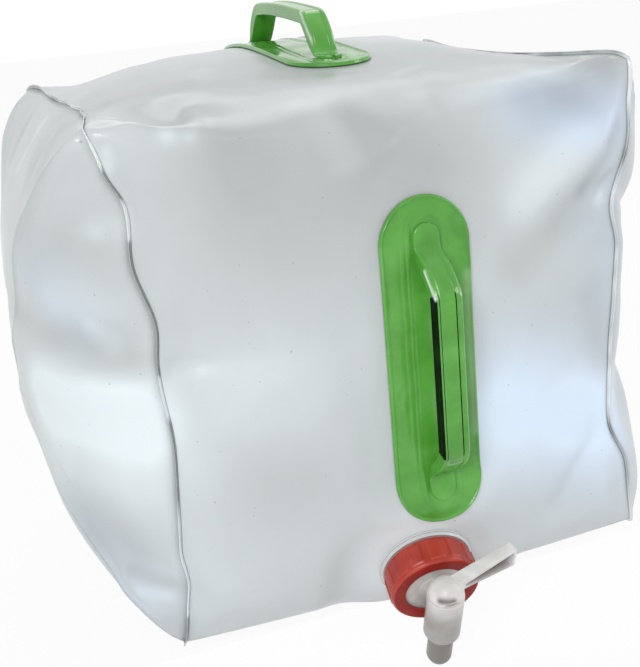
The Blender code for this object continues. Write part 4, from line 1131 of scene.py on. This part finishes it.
def plug_solid():
    """Plug, dome and nozzle turned in one."""
    seat = SLEEVE_RISE + TURNING_GAP
    foot = -SLEEVE_DROP - TURNING_GAP
    outlet = -SLEEVE_DROP - NOZZLE_LENGTH
    profile = [(0.0, seat + DOME_RADIUS)]
    for step in range(1, DOME_STEPS + 1):
        angle = QUARTER_TURN * (1.0 - step / DOME_STEPS)
        profile.append((DOME_RADIUS * math.cos(angle), seat + DOME_RADIUS * math.sin(angle)))
    collar = PLUG_RADIUS + PLUG_COLLAR
    profile += [(PLUG_RADIUS, seat), (PLUG_RADIUS, foot), (collar, foot),
                (collar, foot - COLLAR_DROP), (NOZZLE_RADIUS, foot - NOZZLE_DROP)]
    for rib in range(NOZZLE_RIBS):
        height = foot - RIBS_DROP - NOZZLE_RIB_PITCH * rib
        profile += [(NOZZLE_RADIUS, height),
                    (NOZZLE_RADIUS + NOZZLE_RIB_RISE, height - NOZZLE_RIB_HEIGHT / 2),
                    (NOZZLE_RADIUS, height - NOZZLE_RIB_HEIGHT)]
    profile += [(NOZZLE_RADIUS - inset, outlet + rise) for inset, rise in OUTLET_BEVELS]
    profile.append((0.0, outlet))
    return solid("plug", profile, steps=128)


def lever_moulding(material):
    """Plug and nozzle with the dome and the lever, modelled in the sleeve's frame."""
    turn = Matrix.Rotation(math.radians(LEVER_TURN), 4, "Z")
    low = SLEEVE_RISE + LEVER_LIFT
    root_high, tip_high = low + LEVER_ROOT_HEIGHT, low + LEVER_TIP_HEIGHT
    half = LEVER_WIDTH / 2
    tip_half = half - LEVER_TAPER
    inner = LEVER_LENGTH - LEVER_WALL
    wall = half - LEVER_WALL
    pocket_low = low + LEVER_WALL
    lever = moved(bar("lever", rectangle(0, -half, half, low, root_high),
                      rectangle(LEVER_LENGTH, -tip_half, tip_half, low, tip_high)), turn)
    root = rectangle(DOME_RADIUS, -2 * half, wall, pocket_low, pocket_low + LEVER_POCKET_ROOT)
    tip = rectangle(inner, -2 * half, wall, pocket_low, tip_high - LEVER_WALL)
    pocket = moved(bar("pocket", root, tip), turn)
    ball = [(math.sin(a), math.cos(a)) for a in np.linspace(0.0, math.pi, 17)[1:-1]]
    scoop = solid("scoop", [(0.0, 1.0)] + ball + [(0.0, -1.0)], steps=48)
    angle = math.radians(SCOOP_ANGLE)
    place = Matrix.Translation((DOME_RADIUS * math.cos(angle), DOME_RADIUS * math.sin(angle),
                                SLEEVE_RISE))
    moved(scoop, place @ Matrix.Rotation(angle, 4, "Z") @ Matrix.Diagonal((*SCOOP_SIZE, 1.0)))
    bore = cylinder("outlet", NOZZLE_BORE_RADIUS, -SLEEVE_DROP - NOZZLE_LENGTH - MM,
                    BARREL_BORE_RADIUS)
    port = moved(cylinder("port", PORT_RADIUS, 0.0, PORT_REACH),
                 Matrix.Rotation(-QUARTER_TURN, 4, "Y"))
    mesh = combined(plug_solid(), ((lever, "UNION"), (pocket, "DIFFERENCE"),
                                   (scoop, "DIFFERENCE"), (bore, "DIFFERENCE"),
                                   (port, "DIFFERENCE")), LEVER_VOXEL)
    return placed("lever_moulding", mesh, tap_matrix(), material)


# Materials

BLACK = (0.0, 0.0, 0.0)


class Shader:
    """The nodes of one material or world; most methods return the socket of their result.

    Each node is made after those that feed it, so that a long sum of patches still renders.
    """

    def __init__(self, owner, surface="Principled BSDF"):
        owner.use_nodes = True
        self.owner = owner
        self.nodes, self.links = owner.node_tree.nodes, owner.node_tree.links
        self.surface = self.nodes[surface]

    def put(self, socket, value):
        if hasattr(value, "is_linked"):
            self.links.new(value, socket)
        else:
            socket.default_value = value

    def node(self, kind, inputs, **settings):
        """A node with its settings, and with its inputs linked or set to plain values."""
        node = self.nodes.new("ShaderNode" + kind)
        for setting, value in settings.items():
            setattr(node, setting, value)
        for socket, value in inputs.items():
            self.put(node.inputs[socket], value)
        return node

    def finished(self, inputs):
        for socket, value in inputs.items():
            self.put(self.surface.inputs[socket], value)
        return self.owner

    def place(self):
        return self.node("TexCoord", {}).outputs["Object"]

    def math(self, operation, first, second):
        return self.node("Math", {0: first, 1: second}, operation=operation).outputs[0]

    def vector(self, operation, inputs, output="Vector"):
        return self.node("VectorMath", inputs, operation=operation).outputs[output]

    def noise(self, scale, detail, distortion=0.0, stretch=(1.0, 1.0, 1.0)):
        """Noise in the object's own space."""
        space = self.node("Mapping", {"Vector": self.place(), "Scale": stretch})
        return self.node("TexNoise", {"Vector": space.outputs["Vector"], "Scale": scale,
                                      "Detail": detail, "Distortion": distortion}).outputs["Fac"]

    def ramp(self, source, stops):
        """Colours along a value, given as (position, colour)."""
        node = self.node("ValToRGB", {"Fac": source})
        elements = node.color_ramp.elements
        while len(elements) < len(stops):
            elements.new(0.5)
        for element, (position, colour) in zip(elements, stops):
            element.position = position
            element.color = (*colour, 1.0)
        return node.outputs["Color"]

    def mixed(self, factor, first, second, blend="MIX"):
        node = self.node("Mix", {}, data_type="RGBA", blend_type=blend)
        sockets = [socket for socket in node.inputs if socket.enabled]
        for socket, value in zip(sockets, (factor, first, second)):
            self.put(socket, (*value, 1.0) if isinstance(value, tuple) else value)
        return [socket for socket in node.outputs if socket.enabled][0]

    def scaled(self, source, low, high):
        return self.node("MapRange", {"Value": source, "To Min": low,
                                      "To Max": high}).outputs["Result"]

    def bump(self, height, strength, distance):
        relief = self.node("Bump", {"Strength": strength, "Distance": distance, "Height": height})
        self.put(self.surface.inputs["Normal"], relief.outputs["Normal"])

    def patch(self, start, end, reach, strength):
        """A soft patch along a line in mm: the strength on the line, none past its reach."""
        start, end = Vector(start) * MM, Vector(end) * MM
        run = end - start
        offset = self.vector("SUBTRACT", {0: self.place(), 1: start})
        along = self.vector("DOT_PRODUCT", {0: offset, 1: run / max(run.length_squared, TINY)},
                            "Value")
        share = self.node("Clamp", {"Value": along}).outputs["Result"]
        foot = self.vector("SCALE", {0: run, "Scale": share})
        away = self.vector("SUBTRACT", {0: offset, 1: foot})
        distance = self.vector("LENGTH", {0: away}, "Value")
        return self.node("MapRange", {"Value": distance, "From Max": reach * MM,
                                      "To Min": strength, "To Max": 0.0},
                         interpolation_type="SMOOTHSTEP").outputs["Result"]

    def patches(self, places, total=None):
        """The sum of soft patches, added to the total where one is given."""
        for place in places:
            patch = self.patch(*place)
            total = patch if total is None else self.math("ADD", total, patch)
        return total

    def behind(self):
        """1 for rays that look at the background itself, directly or through gloss and glass."""
        path = self.node("LightPath", {}).outputs
        seen = path["Is Camera Ray"]
        for ray in ("Is Glossy Ray", "Is Transmission Ray"):
            seen = self.math("MAXIMUM", seen, path[ray])
        return seen


def material_shader(name):
    return Shader(bpy.data.materials.new(name))


# Painted light and shade of the milky film, as patches of painted highlight and painted shade, and
# where it is bluish: start, end, reach and strength
FILM_PAINTED_LIGHT_AND_SHADE = (
    ((-178, -62, 142), (-140, -117, 140), 34, 0.62),
    ((-176, -60, 118), (-137, -116, 118), 46, 0.30),
    ((-182, -45, 182), (-140, -117, 172), 20, -0.24),
    ((-166, -95, 202), (-150, -110, 200), 26, 0.16),
    ((-168, -90, 232), (-145, -115, 226), 36, -0.26),
    ((-158, -100, 242), (-143, -115, 234), 9, 0.22),
    ((-165, -88, 222), (-158, -98, 216), 7, 0.20), ((3, -134, 30), (3, -136, 52), 42, 0.45),
    ((-26, -132, 24), (-22, -134, 44), 34, 0.42), ((-150, 62, 271), (-164, 60, 250), 10, -0.28),
    ((-147, 20, 272), (-162, 25, 250), 10, 0.22), ((-149, -50, 272), (-162, -60, 255), 8, 0.16),
    ((-176, -40, 262), (-150, -100, 268), 42, -0.34),
    ((-158, -100, 44), (-150, -112, 40), 26, 0.16), ((-168, -82, 70), (-148, -108, 62), 34, -0.22),
    ((-60, -141, 250), (0, -143, 240), 80, -0.52), ((-85, -133, 260), (-80, -134, 256), 30, -0.16),
    ((-104, -92, 284), (-94, -102, 282), 21, -0.46),
    ((-130, -112, 284), (-114, -112, 282), 7, 0.30),
    ((-114, -116, 281), (-108, -129, 276), 8, 0.26),
    ((-108, -130, 275), (-98, -130, 273), 9, 0.16),
    ((-97, -129, 274), (-90, -119, 280), 6, 0.16), ((-136, -129, 273), (-136, -129, 266), 6, 0.10),
    ((60, -144, 108), (70, -143, 104), 62, 0.52), ((112, -130, 92), (118, -128, 84), 46, 0.54),
    ((-122, -130, 148), (-62, -139, 146), 50, 0.16), ((-80, -139, 98), (-60, -141, 94), 36, -0.12),
    ((124, -128, 258), (66, -142, 222), 22, 0.24), ((128, -127, 250), (104, -136, 222), 11, -0.34),
    ((84, -134, 272), (124, -128, 270), 24, -0.30),
    ((104, -137, 216), (60, -143, 190), 22, -0.20), ((40, -122, 276), (92, -118, 284), 14, 0.24),
    ((-39, -112, 281), (22, -124, 274), 13, 0.20), ((110, -131, 160), (122, -129, 120), 20, -0.16),
    ((-100, -50, 292), (100, -50, 298), 95, -0.50), ((-60, 140, 120), (60, 140, 130), 110, 0.24),
    ((-80, 145, 225), (90, 145, 215), 60, -0.28), ((176, -40, 120), (180, 40, 110), 60, 0.42),
    ((172, -60, 200), (180, 50, 190), 40, -0.30), ((-186, 40, 200), (-180, 90, 120), 60, 0.24),
    ((-151, -109, 53), (-131, -129, 47), 7, -0.22), ((-148, -114, 43), (-137, -122, 42), 8, 0.18),
    ((-137, -122, 25), (-134, -128, 20), 16, -0.20),
    ((-136, -129, 272), (-136, -129, 264), 5, 0.12),
    ((-152, -104, 184), (-145, -112, 177), 11, 0.22),
    ((-155, -101, 150), (-140, -116, 149), 14, 0.12),
    ((-145, -118, 238), (-133, -127, 235), 11, 0.14),
    ((-16, -117, 277), (-5, -138, 256), 15, -0.20),
    ((-32, -124, 273), (-27, -140, 255), 13, 0.12),
    ((122, -106, 284), (131, -120, 281), 16, -0.30),
    ((89, -104, 283), (103, -116, 280), 14, 0.22), ((43, -78, 288), (24, -90, 286), 6, 0.20),
    ((-59, -8, 294), (-69, -56, 291), 12, 0.16), ((114, -131, 260), (98, -128, 268), 14, -0.14))
FILM_BLUES = (
    ((80, -136, 268), (124, -128, 256), 36, 1.0), ((120, -131, 205), (126, -128, 170), 50, 0.5),
    ((60, -140, 112), (118, -128, 84), 80, 0.9), ((-168, -90, 205), (-160, -96, 190), 40, 0.4),
    ((-165, -85, 60), (-150, -108, 40), 60, 0.4), ((40, 140, 200), (90, 140, 120), 90, 0.5))


def film_material():
    """Milky clear film: soft lighter and darker places of painted light and shade, bluish places,
    faint clouds, specks, fine wrinkles.
    """
    shader = material_shader("clear_film")
    # The tone is random clouds plus the patches of painted highlight and painted shade
    tone = shader.patches(FILM_PAINTED_LIGHT_AND_SHADE, shader.scaled(shader.noise(9.0, 3.0, 0.6), 0.25, 0.75))
    colour = shader.ramp(tone, ((0.0, (0.47, 0.495, 0.50)), (0.30, (0.56, 0.595, 0.60)),
                                (0.55, (0.64, 0.685, 0.70)), (1.0, (0.84, 0.92, 0.95))))
    bluish = shader.mixed(1.0, colour, (0.90, 0.97, 1.12), "MULTIPLY")
    colour = shader.mixed(shader.patches(FILM_BLUES), colour, bluish)
    specks = shader.ramp(shader.noise(520.0, 0.0), ((0.855, BLACK), (0.875, (0.7, 0.7, 0.7))))
    shader.bump(shader.noise(45.0, 2.0, 0.8), 0.16, 0.0009)
    return shader.finished({
        "Base Color": shader.mixed(specks, colour, (0.38, 0.38, 0.37)),
        "Roughness": shader.scaled(shader.noise(30.0, 4.0), 0.26, 0.42),
        "Transmission Weight": 0.10, "IOR": 1.35, "Coat Weight": 0.22, "Coat Roughness": 0.2})


# Stretches of the left weld with a painted highlight, where it flashes white, or painted shade,
# where it shows dark lines: start, end, reach and strength
WELD_PAINTED_GLINTS_AND_SHADE = (
    ((-143, -131, 279), (-141, -131, 269), 12, 0.40),
    ((-140, -131, 262), (-138, -131, 256), 11, -0.34),
    ((-130, -127, 243), (-131, -127, 236), 11, 0.40),
    ((-131, -128, 221), (-129, -126, 211), 11, -0.45),
    ((-125, -126, 184), (-126, -126, 169), 11, -0.45),
    ((-126, -126, 154), (-125, -126, 148), 10, 0.34),
    ((-124, -125, 131), (-125, -127, 117), 12, -0.30),
    ((-127, -129, 44), (-130, -131, 38), 12, 0.45), ((-131, -132, 27), (-132, -132, 25), 9, -0.36))


def weld_material(name, dark, plain, light):
    """Film pressed by the welding bar: whiter or darker by stretches of painted highlight and
    painted shade, with fine cross ribs.
    """
    shader = material_shader(name)
    tone = shader.patches(WELD_PAINTED_GLINTS_AND_SHADE, shader.noise(26.0, 2.0))
    shader.bump(shader.noise(700.0, 2.0), 0.2, 0.0003)
    return shader.finished({
        "Base Color": shader.ramp(tone, ((0.36, dark), (0.50, plain), (0.64, light))),
        "Roughness": shader.scaled(shader.noise(90.0, 2.0), 0.12, 0.26),
        "Transmission Weight": 0.12, "IOR": 1.4, "Coat Weight": 0.5, "Coat Roughness": 0.1})


# Painted light and shade on the vinyl of the grips: where it is painted paler, where painted
# highlights lie, and where it is painted deeper: start, end, reach and strength
VINYL_PAINTED_LIGHT = (
    ((32.5, -148, 105), (31.5, -148, 190), 5, 0.42), ((-17, -148, 190), (-17, -148, 210), 4, 0.2))
VINYL_PAINTED_HIGHLIGHTS = (
    ((1.9, -160, 199), (1.9, -170, 188), 2.2, 0.9), ((16, -160, 199), (16, -170, 188), 2.0, 0.9),
    ((-0.3, -15, 321), (-0.3, -33, 302), 2.0, 0.7), ((14.3, -15, 321), (14.3, -33, 302), 2.0, 0.7),
    ((4, -168, 103), (15, -168, 103), 2.0, 0.4))
VINYL_PAINTED_SHADE = (
    ((0, -14, 322), (15, -14, 322), 9, 0.55), ((-4, -152, 205), (-2, -152, 90), 7, 0.22))


def vinyl_material(name, dark, plain, light, gloss=1.0):
    """Glossy flexible vinyl with cloudy depth, fine scuffs, painted highlights and painted shade.
    """
    shader = material_shader(name)
    clouds = shader.noise(45.0, 4.0, 0.4)
    colour = shader.ramp(clouds, ((0.32, dark), (0.50, plain), (0.72, light)))
    scuffs = shader.ramp(shader.noise(260.0, 3.0, 0.3, (1.0, 1.0, 0.15)),
                         ((0.66, BLACK), (0.80, (0.22, 0.22, 0.22))))
    colour = shader.mixed(scuffs, colour, light)
    # Mix in the painted light, the painted shade and the painted highlights
    for places, tint in ((VINYL_PAINTED_LIGHT, (0.40, 0.60, 0.36)), (VINYL_PAINTED_SHADE, dark),
                         (VINYL_PAINTED_HIGHLIGHTS, (0.84, 0.92, 0.82))):
        colour = shader.mixed(shader.patches(places), colour, tint)
    shader.bump(shader.noise(90.0, 2.0, 0.5), 0.2, 0.0006)
    return shader.finished({
        "Base Color": colour, "Roughness": shader.scaled(clouds, 0.14, 0.30),
        "Specular IOR Level": 0.3 * gloss, "Coat Weight": 0.5 * gloss, "Coat Roughness": 0.05,
        "Subsurface Weight": 0.12, "Subsurface Radius": (0.4, 1.0, 0.3),
        "Subsurface Scale": 0.002})


def flange_material():
    """Cloudy clear vinyl with fine brownish rings about the neck."""
    shader = material_shader("clear_vinyl")
    away = shader.vector("DISTANCE", {0: shader.place(), 1: NECK_PLACE}, "Value")
    across = shader.node("MapRange", {"Value": away, "From Min": COLLAR_RADIUS - MM,
                                      "From Max": FLANGE_RADIUS + MM}).outputs["Result"]
    clear, line = (0.60, 0.635, 0.645), (0.28, 0.20, 0.16)
    rings = shader.ramp(across, ((0.0, clear), (0.22, line), (0.30, clear), (0.52, clear),
                                 (0.60, line), (0.68, clear), (0.86, (0.74, 0.77, 0.78)),
                                 (1.0, line)))
    clouds = shader.noise(60.0, 3.0, 0.5)
    shader.bump(shader.noise(200.0, 2.0), 0.15, 0.0003)
    return shader.finished({
        "Base Color": shader.mixed(shader.scaled(clouds, 0.0, 0.5), rings, clear),
        "Roughness": shader.scaled(clouds, 0.32, 0.46), "Transmission Weight": 0.1})


# Painted shade on the tap's plastic: towards the nozzle, on the disc, in the dome's scoop and
# along the lever: start, end, reach and strength
HOUSING_PAINTED_SHADE = (
    ((2, -148, -25), (-0.5, -162, 10), 26, 0.92), ((1.5, -150, 20), (1.5, -150, 20), 21, 0.2))
LEVER_PAINTED_SHADE = (
    ((2, -148, -25), (1, -156, -6), 24, 1.1),
    ((-8.0, -176.4, 28.8), (-1.6, -178.8, 28.3), 3.1, 0.9),
    ((14, -167.6, 29.4), (34, -165.3, 31.2), 9, 0.95))


def plastic_material(name, dark, plain, light, roughness, shades=(), gloss=0.5):
    """Moulded plastic with a faint grain, flow marks, polished spots and soft darker places of
    painted shade.
    """
    shader = material_shader(name)
    colour = shader.ramp(shader.noise(70.0, 4.0, 0.8),
                         ((0.30, dark), (0.52, plain), (0.74, light)))
    if shades:
        # The shades are painted shade, mixed towards a dark brown
        colour = shader.mixed(shader.patches(shades), colour, (0.13, 0.115, 0.10))
    polish = shader.scaled(shader.noise(160.0, 3.0), roughness - 0.06, roughness + 0.08)
    shader.bump(shader.noise(900.0, 2.0), 0.12, 0.0003)
    return shader.finished({
        "Base Color": colour, "Roughness": polish, "Specular IOR Level": gloss,
        "Subsurface Weight": 0.06, "Subsurface Scale": 0.001})


# Stage, light and camera

WORLD_LIGHT = 0.50
FLOOR_WHITE_SHARE = 0.93
FLOOR_GREY = 0.84
LIGHTS_AIM = (0.0, 0.0, 0.15)
# Soft lamps: name, place, width and height in metres, and watts
LAMPS = (("key", (-0.95, -1.45, 1.05), (0.7, 0.5), 17.5),
         ("top", (0.3, 1.1, 1.7), (1.2, 0.9), 7.0),
         ("side", (1.5, -0.6, 0.8), (0.5, 1.0), 7.0))


def lights():
    for name, place, size, power in LAMPS:
        light = bpy.data.lights.new(name, "AREA")
        light.shape = "RECTANGLE"
        light.size, light.size_y = size
        light.energy = power
        item = linked(name, light)
        item.location = place
        item.rotation_euler = (Vector(LIGHTS_AIM) - Vector(place)).to_track_quat(
            "-Z", "Y").to_euler()


def light_world():
    world = bpy.data.worlds.new("studio")
    bpy.context.scene.world = world
    shader = Shader(world, "Background")
    shader.finished({"Strength": shader.scaled(shader.behind(), WORLD_LIGHT, 1.0),
                     "Color": (1.0, 1.0, 1.0, 1.0)})


def floor_material():
    """Pale floor that stays white to the camera and keeps a soft shadow."""
    shader = material_shader("studio_floor")
    shader.finished({"Base Color": (FLOOR_GREY, FLOOR_GREY, FLOOR_GREY, 1.0), "Roughness": 0.9})
    share = shader.math("MULTIPLY", shader.behind(), FLOOR_WHITE_SHARE)
    glow = shader.node("Emission", {})
    blend = shader.node("MixShader", {0: share, 1: shader.surface.outputs[0], 2: glow.outputs[0]})
    shader.put(shader.nodes["Material Output"].inputs["Surface"], blend.outputs[0])
    return shader.owner


TABLE_EDGE = -118.0 * MM
TABLE_DROP = 60.0 * MM
STAGE_SPAN = 6.0


def stage():
    """A table top that ends under the bag's front, so the nozzle hangs past it, and a floor."""
    material = floor_material()
    span = STAGE_SPAN
    points = [(-span, -span, -TABLE_DROP), (span, -span, -TABLE_DROP),
              (span, TABLE_EDGE, -TABLE_DROP), (-span, TABLE_EDGE, -TABLE_DROP),
              (span, TABLE_EDGE, 0.0), (-span, TABLE_EDGE, 0.0), (span, span, 0.0),
              (-span, span, 0.0)]
    faces = [(0, 1, 2, 3), (3, 2, 4, 5), (5, 4, 6, 7)]
    table = object_from("table", [np.array(p) for p in points], faces, material, smooth=False)
    table.location.z = -0.1 * MM


def camera():
    data = bpy.data.cameras.new("camera")
    data.sensor_width = SENSOR_MM
    data.lens = LENS_MM
    item = linked("camera", data)
    item.location = CAMERA_PLACE
    item.rotation_euler = [math.radians(angle) for angle in CAMERA_ANGLES]
    bpy.context.scene.camera = item


def on_bag(piece, slot, *nodes):
    """A piece of the bag or its front handle: the CAD nodes it replaces are hidden and its place
    is baked into its mesh.
    """
    if nodes:
        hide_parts(*nodes)
    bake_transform(piece)


def on_body(piece, body, slot, *nodes):
    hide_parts(*nodes)
    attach(piece, body)


film = film_material()
weld = weld_material("weld_film", (0.40, 0.425, 0.43), (0.66, 0.70, 0.72), (0.86, 0.89, 0.90))
# Its near-black dark end is the painted shade line in the weld's valleys
weld_painted_shade_line = weld_material("weld_painted_shade_line", (0.05, 0.055, 0.055), (0.50, 0.53, 0.54),
                          (0.84, 0.87, 0.88))
green = vinyl_material("green_vinyl", (0.068, 0.285, 0.030), (0.090, 0.345, 0.043),
                       (0.125, 0.41, 0.068))
# Near-black green of the front strap's slits and sides: painted shade
painted_shade_green = vinyl_material("green_vinyl_painted_shade", (0.002, 0.006, 0.001), (0.004, 0.012, 0.003),
                            (0.010, 0.035, 0.006), 0.1)
cream = flange_material()
red = plastic_material("red_plastic", (0.34, 0.026, 0.016), (0.42, 0.038, 0.023),
                       (0.50, 0.065, 0.042), 0.30, gloss=0.4)
# Darker copy of the red for the ring's front face: painted shade
painted_shade_red = plastic_material("red_plastic_painted_shade", (0.24, 0.012, 0.008), (0.30, 0.018, 0.011),
                            (0.36, 0.030, 0.020), 0.44, gloss=0.2)
OFF_WHITES = (0.62, 0.595, 0.58), (0.72, 0.70, 0.69), (0.80, 0.785, 0.78)
# Housing and lever take copies of one off-white plastic that differ only in their painted shade
housing_white = plastic_material("white_plastic", *OFF_WHITES, 0.36, HOUSING_PAINTED_SHADE)
lever_white = plastic_material("lever_plastic", *OFF_WHITES, 0.36, LEVER_PAINTED_SHADE)
rubber = plastic_material("seal_rubber", (0.015, 0.015, 0.016), (0.02, 0.02, 0.021),
                          (0.04, 0.04, 0.042), 0.55)

wrap, film_points, film_quads = wrap_film(film)
on_bag(wrap, "clear_film", "wrap_panel")
for side_name, side, swell, seed in (("left", -1.0, SIDE_SWELL_LEFT, LEFT_SEED),
                                     ("right", 1.0, SIDE_SWELL_RIGHT, RIGHT_SEED)):
    on_bag(end_film(side_name + "_end_film", side, swell, seed, film), "clear_film",
           side_name + "_side_panel")
    on_bag(seam_weld(side_name + "_seam_weld", side, weld, weld_painted_shade_line), "clear_film")

seat = Seat(film_points, film_quads, (0.0, 1.0, 0.0), 2)
on_bag(handle_plate("front_plate", seat, FRONT_HANDLE, green), "green_vinyl", "front_handle_base")
# The front strap's slits and sides get the near-black painted shade
on_bag(handle_strap("front_strap", seat, FRONT_HANDLE, green, painted_shade_green), "green_vinyl",
       "front_handle_strap")
seat = Seat(film_points, film_quads, (0.0, 0.0, -1.0), 1)
on_body(handle_plate("top_plate", seat, TOP_HANDLE, green), "top_grip", "green_vinyl",
        "top_handle_base")
on_body(handle_strap("top_strap", seat, TOP_HANDLE, green, green), "top_grip", "green_vinyl",
        "top_handle_strap")

on_body(spout_neck(cream), "bag", "clear_vinyl", "spout_neck")
on_body(screw_ring(red, painted_shade_red), "ring", "red_plastic", "cap_ring")
on_body(tap_housing(housing_white), "tap", "white_plastic", "tap_body")
on_body(lever_moulding(lever_white), "lever", "white_plastic", "lever_plug")
for node in ("neck_gasket", "upper_o_ring", "lower_o_ring"):
    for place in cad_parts[node].material_slots:
        place.material = rubber

stage()
light_world()
lights()
camera()
bpy.context.scene.view_settings.view_transform = "Standard"
